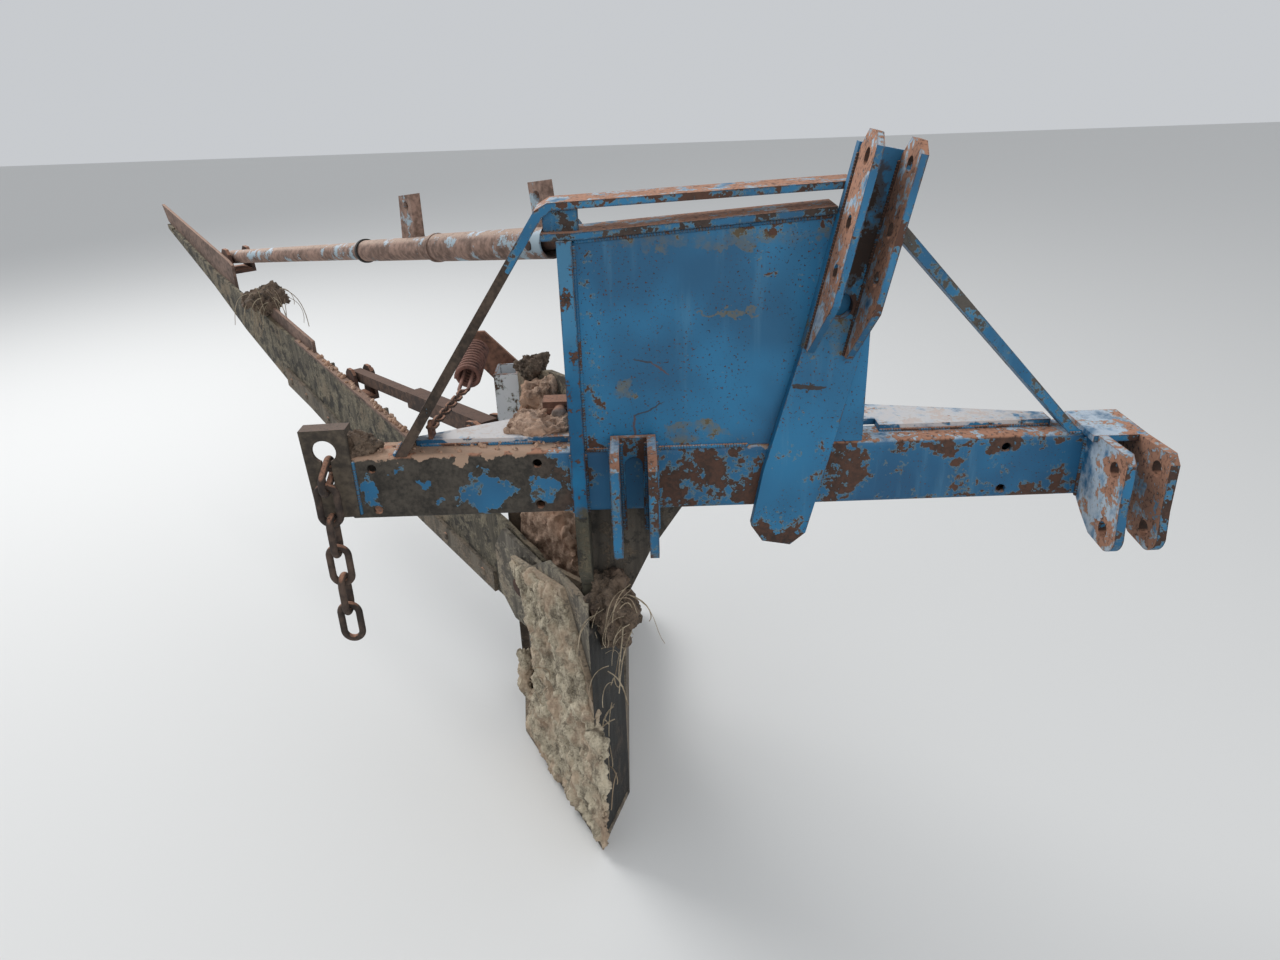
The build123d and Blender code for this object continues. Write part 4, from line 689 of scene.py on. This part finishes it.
WING_ANGLE = math.radians(40)
BEHIND_WING = 0.052
BACK_OF_WING = (
    (-0.020 + BEHIND_WING * math.cos(WING_ANGLE), 0.190 + BEHIND_WING * math.sin(WING_ANGLE), 0.0),
    (-math.cos(WING_ANGLE), -math.sin(WING_ANGLE), 0.0),
)
LEG_SIDE = ((-0.013, 0, 0), (1, 0, 0))
clod("packed_soil", (-0.105, 0.410, 0.395), (0.105, 0.150, 0.225), [(0.080, 0.110), (0.022, 0.036)],
     red_earth, cuts=[((0, 0, 0.206), (0, 0, -1)), BACK_OF_WING, LEG_SIDE],
     again=[(0.024, 0.030), (0.007, 0.012)])
clod("web_soil", (-0.085, 0.375, 0.875), (0.062, 0.036, 0.070),
     [(0.040, 0.070), (0.014, 0.024), (0.006, 0.009)], red_earth)
clod("web_top_clod", (-0.122, 0.436, 0.952), (0.034, 0.030, 0.026),
     [(0.030, 0.050), (0.012, 0.020), (0.005, 0.008)], dark_earth)
clod("gusset_soil", (-0.070, 0.105, 0.950), (0.070, 0.055, 0.014),
     [(0.040, 0.030), (0.012, 0.018), (0.005, 0.007)], red_earth,
     cuts=[((0, 0, 0.946), (0, 0, -1)), LEG_SIDE])
clod("beam_end_clod", (-0.402, 0.036, 0.946), (0.034, 0.034, 0.022),
     [(0.030, 0.044), (0.012, 0.020), (0.005, 0.008)], dark_earth, cuts=[((0, 0, 0.9355), (0, 0, -1))])
clod("knee_soil", (0.044, 0.034, 0.580), (0.046, 0.044, 0.085),
     [(0.040, 0.070), (0.014, 0.026), (0.006, 0.010)], dark_earth)
clod("wing_clump", (-1.118, 1.535, 0.856), (0.060, 0.075, 0.030),
     [(0.045, 0.080), (0.016, 0.030), (0.006, 0.010)], dark_earth, "wing")

# Wing: a long tapering blade with a cutting edge, a top flange, two upper sheets and ribs behind.
# The blade is grey with dried mud and dark growth; the flange and sheets are rusty.
dress(muddy("wing_finish", 64.9, None, 0.015, 0.085, (0.058, 0.050, 0.036), (0.215, 0.185, 0.128)),
      "wing_blade")
dress(muddy("edge_finish", 67.4, None, 0.0, 0.02, (0.080, 0.068, 0.052), (0.210, 0.170, 0.125)),
      "wing_cutting_edge")
# The flange's and sheets' top faces are paler: rust, made lighter as painted sunlight.
dress(rusty("flange_rust", 70.2, rgb(0.080, 0.052, 0.040), rgb(0.200, 0.130, 0.100),
            top_rust_and_light=rgb(0.300, 0.190, 0.140)), "wing_top_flange", "wing_upper_sheets")
dress(muddy("rib_finish", 73.3, None, -0.02, 0.03), "wing_back_ribs")
dress(rusty("bracket_rust", 76.1), "wing_brackets", "wing_pins", "frame_pins")
dress(painted("pivot_bracket_paint", 78.8, 0.19), "pivot_brackets")

# Bolts: worn round heads that hold the cutting edge to the blade, packed with mud.
# One head is modelled, and the others are copies along the strip.
WING_CORNER = Vector((-0.020, 0.190, 0.0))
wing_along = Vector((-math.sin(WING_ANGLE), math.cos(WING_ANGLE), 0.0))
wing_out = Vector((math.cos(WING_ANGLE), math.sin(WING_ANGLE), 0.0))
bpy.ops.object.select_all(action="DESELECT")
bpy.ops.mesh.primitive_uv_sphere_add(segments=16, ring_count=8, radius=0.0115)
first_head = alone("edge_bolts")
first_head.scale = (1.0, 0.5, 1.0)
settle(first_head)
bpy.ops.object.mode_set(mode="EDIT")
bpy.ops.mesh.select_all(action="SELECT")
bpy.ops.mesh.bisect(plane_co=(0, -0.0042, 0), plane_no=(0, -1, 0), use_fill=True, clear_outer=True)
bpy.ops.object.mode_set(mode="OBJECT")
heads = []
for along, height in ((0.430, 0.383), (0.610, 0.415), (0.790, 0.448), (0.960, 0.481), (1.130, 0.515),
                      (1.300, 0.554), (1.450, 0.593), (1.560, 0.616)):
    head = first_head.copy()
    head.data = first_head.data.copy()
    bpy.context.scene.collection.objects.link(head)
    head.rotation_euler = (0, 0, math.radians(-50))
    head.location = WING_CORNER + wing_along * along - wing_out * 0.0035 + Vector((0, 0, height))
    settle(head)
    heads.append(head)
bpy.data.objects.remove(first_head)
edge_bolts = joined("edge_bolts", heads)
bpy.ops.object.shade_smooth_by_angle(angle=math.radians(40))
keep(edge_bolts, rusty("edge_bolt_rust", 76.9, rgb(0.040, 0.032, 0.024), rgb(0.190, 0.150, 0.110)), "wing")

# Rear post: a box post behind the wing, scoured to pale bluish steel near the top and earthy below.
# It stands on the sole and carries the ends of the webs, the stay and the spring's arm.
dress(painted("post_finish", 61.5, -0.020, [
    ((-0.190, 0.540, 0.320), (0.200, 0.200, 0.460), 0.300),
], bares=[
    ((-0.190, 0.540, 0.320), (0.200, 0.200, 0.560), (0.080, 0.060, 0.043)),
], coat=(rgb(0.560, 0.590, 0.620), rgb(0.680, 0.700, 0.720), rgb(0.720, 0.735, 0.750))), "rear_post")

# Strut: three tubes that slide in each other, with a drilled ram lug on each of the first two.
# Pinkish rust with islands of pale paint, dark lugs and a black band at the thin tube.
TUBE_DARK = rgb(0.110, 0.066, 0.048)
TUBE_LIGHT = rgb(0.300, 0.190, 0.145)
# The tubes' upper faces take a paler rust: rust, made lighter as painted sunlight.
TUBE_TOP_LIT = rgb(0.450, 0.330, 0.260)
TUBE_COAT = rgb(0.300, 0.380, 0.430)
for tube, finish, seed in (("strut_sleeve", "sleeve_rust", 81.0), ("strut_mid_tube", "mid_tube_rust", 84.6),
                           ("strut_thin_tube", "thin_tube_rust", 87.9)):
    dress(rusty(finish, seed, TUBE_DARK, TUBE_LIGHT, 0.3, 0.01, TUBE_COAT, TUBE_TOP_LIT), tube)
# The ring's and stay's top faces are a little lighter: rust with painted sunlight.
dress(rusty("ring_black", 90.2, rgb(0.010, 0.010, 0.010), rgb(0.030, 0.028, 0.026), 0.3,
            top_rust_and_light=rgb(0.060, 0.055, 0.050)), "strut_ring")
dress(rusty("stay_rust", 93.1, rgb(0.034, 0.021, 0.016), rgb(0.110, 0.062, 0.042),
            top_rust_and_light=rgb(0.150, 0.085, 0.060)), "stay_tube", "stay_bar")

# Crumbs: small clods that have dried where they fell, on the wing's flange and along the left beam.
# One is modelled and the rest are copies of it, turned and sized by chance.
scatter = random.Random(4)


def crumbs(name, count, place_of, sizes, material, body):
    """One crumb copied to count places."""
    bpy.ops.object.select_all(action="DESELECT")
    bpy.ops.mesh.primitive_ico_sphere_add(subdivisions=2, radius=1.0, location=(0, 0, 0))
    first = alone(name)
    roughen(first, [(0.9, 0.8)])
    made = []
    for each in range(count):
        crumb = first.copy()
        crumb.data = first.data.copy()
        bpy.context.scene.collection.objects.link(crumb)
        size = scatter.uniform(*sizes)
        crumb.location = place_of(size)
        crumb.rotation_euler = [scatter.uniform(0, math.tau) for turn in range(3)]
        crumb.scale = (size, size * scatter.uniform(0.6, 1.0), size * scatter.uniform(0.5, 0.8))
        made.append(crumb)
    bpy.data.objects.remove(first)
    for crumb in made:
        crumb.select_set(True)
    bpy.context.view_layer.objects.active = made[0]
    bpy.ops.object.transform_apply(location=True, rotation=True, scale=True)
    piece = joined(name, made)
    bpy.ops.object.shade_smooth()
    keep(piece, material, body)


def on_flange(size):
    """A place on the flange, most often in one of two drifts. Its top slopes up along the wing."""
    first, last = 0.80, 1.47
    along = scatter.choice([scatter.gauss(1.22, 0.08), scatter.gauss(0.92, 0.07),
                            scatter.uniform(first, last)])
    along = min(last, max(first, along))
    top = 0.649 + (along - 0.781) * 0.1721
    return (WING_CORNER + wing_along * along + wing_out * scatter.uniform(0.012, 0.026)
            + Vector((0, 0, top + size * 0.2)))


def on_left_beam(size):
    return Vector((scatter.uniform(-0.40, -0.02), scatter.uniform(0.012, 0.075), 0.9352 + size * 0.2))


def on_left_gusset(size):
    return Vector((scatter.uniform(-0.14, -0.02), scatter.uniform(0.06, 0.12), 0.9475 + size * 0.2))


crumbs("flange_crumbs", 90, on_flange, (0.003, 0.009), red_earth, "wing")
crumbs("beam_crumbs", 70, on_left_beam, (0.002, 0.006), red_earth, "frame")
crumbs("gusset_crumbs", 60, on_left_gusset, (0.003, 0.009), red_earth, "frame")

# Roots and straw: dry stems torn up with the soil, hanging from the nose, the knee and the wing's end.
# Each is one thin stem bent in a random curve from where it is caught.
straw = earth("straw", 129.0, rgb(0.170, 0.130, 0.085), rgb(0.420, 0.350, 0.250), rgb(0.260, 0.180, 0.115))


def tuft(name, count, caught, spread, length, droop, body):
    """Stems from about one place: spread is how far their roots lie apart."""
    stems = []
    for each in range(count):
        start = Vector(caught) + Vector([scatter.uniform(-reach, reach) for reach in spread])
        way = Vector((scatter.uniform(-1, 1), scatter.uniform(-1, 0.4), scatter.uniform(-0.6, 0.6)))
        way.normalize()
        reach = scatter.uniform(0.5, 1.0) * length
        end = start + way * reach * 0.6 + Vector((0, 0, -droop * reach))
        bend = start + way * reach * 0.5
        swing = Vector([scatter.uniform(-0.2, 0.2) * reach for axis in range(3)])
        hang = end + swing + Vector((0, 0, droop * reach * 0.3))
        stems.append(wire_piece(name, [(start, start, bend), (end, hang, end)],
                                scatter.uniform(0.0006, 0.0014), 0))
    keep(joined(name, stems), straw, body)


tuft("knee_roots", 22, (0.045, 0.000, 0.590), (0.040, 0.020, 0.060), 0.12, 0.7, "frame")
tuft("cheek_roots", 16, (0.030, 0.000, 0.330), (0.012, 0.030, 0.200), 0.09, 0.8, "frame")
tuft("share_roots", 14, (-0.110, 0.150, 0.300), (0.060, 0.020, 0.180), 0.07, 0.6, "frame")
tuft("wing_straw", 26, (-1.100, 1.500, 0.880), (0.050, 0.055, 0.020), 0.12, 0.9, "wing")


# Welds: ripple beads where the plates meet the beam and each other, in the colour of what they join.
# Each run is one flattened drop, repeated along its line.
def weld(name, runs, body, material, size=4.0):
    """One piece of weld beads, each run from one point to another in millimetres."""
    pitch = 5.0
    beads = []
    for start, end in runs:
        start, end = Vector(start) / 1000, Vector(end) / 1000
        bpy.ops.object.select_all(action="DESELECT")
        bpy.ops.mesh.primitive_uv_sphere_add(segments=8, ring_count=6, radius=size / 1000)
        bead = alone(name)
        bead.scale = (1.1, 1.0, 1.0)
        settle(bead)
        ripple = bead.modifiers.new("ripple", "ARRAY")
        ripple.use_relative_offset = False
        ripple.use_constant_offset = True
        ripple.constant_offset_displace = (pitch / 1000, 0, 0)
        ripple.count = max(2, int((end - start).length * 1000 / pitch))
        bpy.ops.object.modifier_apply(modifier="ripple")
        bead.rotation_mode = "QUATERNION"
        bead.rotation_quaternion = (end - start).to_track_quat("X", "Z")
        bead.location = start
        settle(bead)
        beads.append(bead)
    piece = joined(name, beads)
    bpy.ops.object.shade_smooth()
    keep(piece, material, body)


weld_paint = painted("weld_paint", 96.4, 0.05)
weld("beam_welds", [
    ((-13, -1, 814), (-13, -1, 932)), ((13, -1, 814), (13, -1, 932)),
    ((323, -1, 815), (346, -1, 930)), ((424, -1, 815), (450, -1, 930)),
    ((59, -1, 814), (59, -1, 934)), ((141, -1, 814), (141, -1, 934)),
    ((-407, -1, 826), (-407, -1, 932)), ((916, -1, 814), (916, -1, 932)),
    ((-80, 41, 936), (-296, 48, 936)), ((556, 43, 936), (866, 43, 936)),
    ((-331, 8, 937), (-331, 66, 937)), ((909, 8, 937), (909, 56, 937)),
], "frame", weld_paint)
weld("face_welds", [
    ((18, 1, 935), (310, 1, 935)), ((14, 1, 940), (14, 1, 1304)), ((18, 1, 1306), (440, 1, 1333)),
], "frame", weld_paint)
weld("clevis_welds", [
    ((58, -13, 780), (58, -13, 955)), ((78, -13, 780), (78, -13, 955)),
    ((122, -13, 780), (122, -13, 955)), ((142, -13, 780), (142, -13, 955)),
], "frame", weld_paint, size=3.5)
weld("mast_lug_welds", [
    ((399, -21, 1120), (467, -21, 1436)), ((412, -21, 1118), (480, -21, 1434)),
    ((464, -21, 1106), (532, -21, 1423)), ((478, -21, 1104), (545, -21, 1420)),
], "frame", painted("lug_weld_rust", 97.7, 0.16), 3.5)
weld("brace_welds", [
    ((454, -1, 1372), (458, -1, 1384)), ((-34, 22, 1322), (24, 22, 1322)), ((-15, 9, 1356), (22, 9, 1357)),
    ((517, 4, 1330), (530, 4, 1341)), ((887, -1, 937), (907, -1, 937)),
], "frame", weld_paint, size=3.0)

# Ram lug welds: beads along the feet of the two drilled lugs on the strut.
# Each lug has one run in front and one behind, and they slide with its tube.
STRUT_OUT = 0.070
STRUT_FROM = WING_CORNER + wing_along * 0.165 + wing_out * STRUT_OUT + Vector((0, 0, 1.236))
STRUT_TO = WING_CORNER + wing_along * 2.081 + wing_out * STRUT_OUT + Vector((0, 0, 0.942))
strut_way = (STRUT_TO - STRUT_FROM).normalized()
strut_up = wing_out.cross(strut_way)


def on_strut(along, up, out):
    """A point in millimetres, from metres along the strut, up from it and out from the wing."""
    return (STRUT_FROM + strut_way * along + strut_up * up + wing_out * out) * 1000


BEAD_DROP = 0.004
for name, (near, far), lug_foot, body in (("first_ram_lug_weld", (-0.038, 0.008), 0.0315, "strut_outer"),
                                          ("second_ram_lug_weld", (0.531, 0.598), 0.0275, "strut_inner")):
    in_front, behind = lug_foot - BEAD_DROP, lug_foot - 4 * BEAD_DROP
    weld(name, [
        (on_strut(near, in_front, -0.0045), on_strut(far, in_front, -0.0045)),
        (on_strut(near, behind, 0.0225), on_strut(far, behind, 0.0225)),
    ], body, rusty(name + "_rust", 98.6, TUBE_DARK, TUBE_LIGHT), 3.5)

# Studio: a pale floor under the plough, soft light all round, and the camera of the picture.
bpy.ops.mesh.primitive_plane_add(size=30, location=(0, 0, -0.002))
floor = alone("floor")
floor_finish, wire, shader = finish_on("floor_pale")
shader.inputs["Base Color"].default_value = rgb(0.68, 0.68, 0.67)
shader.inputs["Roughness"].default_value = 0.9
floor.data.materials.append(floor_finish)

world = bpy.data.worlds.new("studio_sky")
bpy.context.scene.world = world
world.use_nodes = True
sky = world.node_tree.nodes["Background"]
sky.inputs["Color"].default_value = rgb(0.93, 0.96, 1.0)
sky.inputs["Strength"].default_value = 0.62

for lamp_name, spot_at, power, size in (
    ("key", (-3.2, 3.2, 4.6), 215.0, 3.0),
    ("front", (1.8, -4.2, 3.2), 90.0, 4.0),
):
    lamp_data = bpy.data.lights.new(lamp_name, "AREA")
    lamp_data.energy = power
    lamp_data.size = size
    lamp = bpy.data.objects.new(lamp_name, lamp_data)
    bpy.context.scene.collection.objects.link(lamp)
    lamp.location = spot_at
    lamp.rotation_euler = (Vector((-0.2, 0.6, 0.7)) - Vector(spot_at)).to_track_quat("-Z", "Y").to_euler()

PICTURE_WIDE = 1280.0
FOCAL_LENGTH = 924.0
CAMERA_AT = Vector((0.11, -1.525, 1.600))
CAMERA_DIP = math.radians(25.5)
CAMERA_ROLL = math.radians(2.0)
camera_data = bpy.data.cameras.new("camera")
camera_data.sensor_width = 36.0
camera_data.lens = FOCAL_LENGTH / PICTURE_WIDE * camera_data.sensor_width
camera = bpy.data.objects.new("camera", camera_data)
bpy.context.scene.collection.objects.link(camera)
look = Vector((0, math.cos(CAMERA_DIP), -math.sin(CAMERA_DIP)))
level_up = Vector((0, math.sin(CAMERA_DIP), math.cos(CAMERA_DIP)))
level_right = Vector((1, 0, 0))
right = level_right * math.cos(CAMERA_ROLL) - level_up * math.sin(CAMERA_ROLL)
above = level_right * math.sin(CAMERA_ROLL) + level_up * math.cos(CAMERA_ROLL)
camera.matrix_world = Matrix((
    (right.x, above.x, -look.x, CAMERA_AT.x),
    (right.y, above.y, -look.y, CAMERA_AT.y),
    (right.z, above.z, -look.z, CAMERA_AT.z),
    (0, 0, 0, 1),
))
bpy.context.scene.camera = camera
bpy.context.scene.view_settings.view_transform = "Standard"
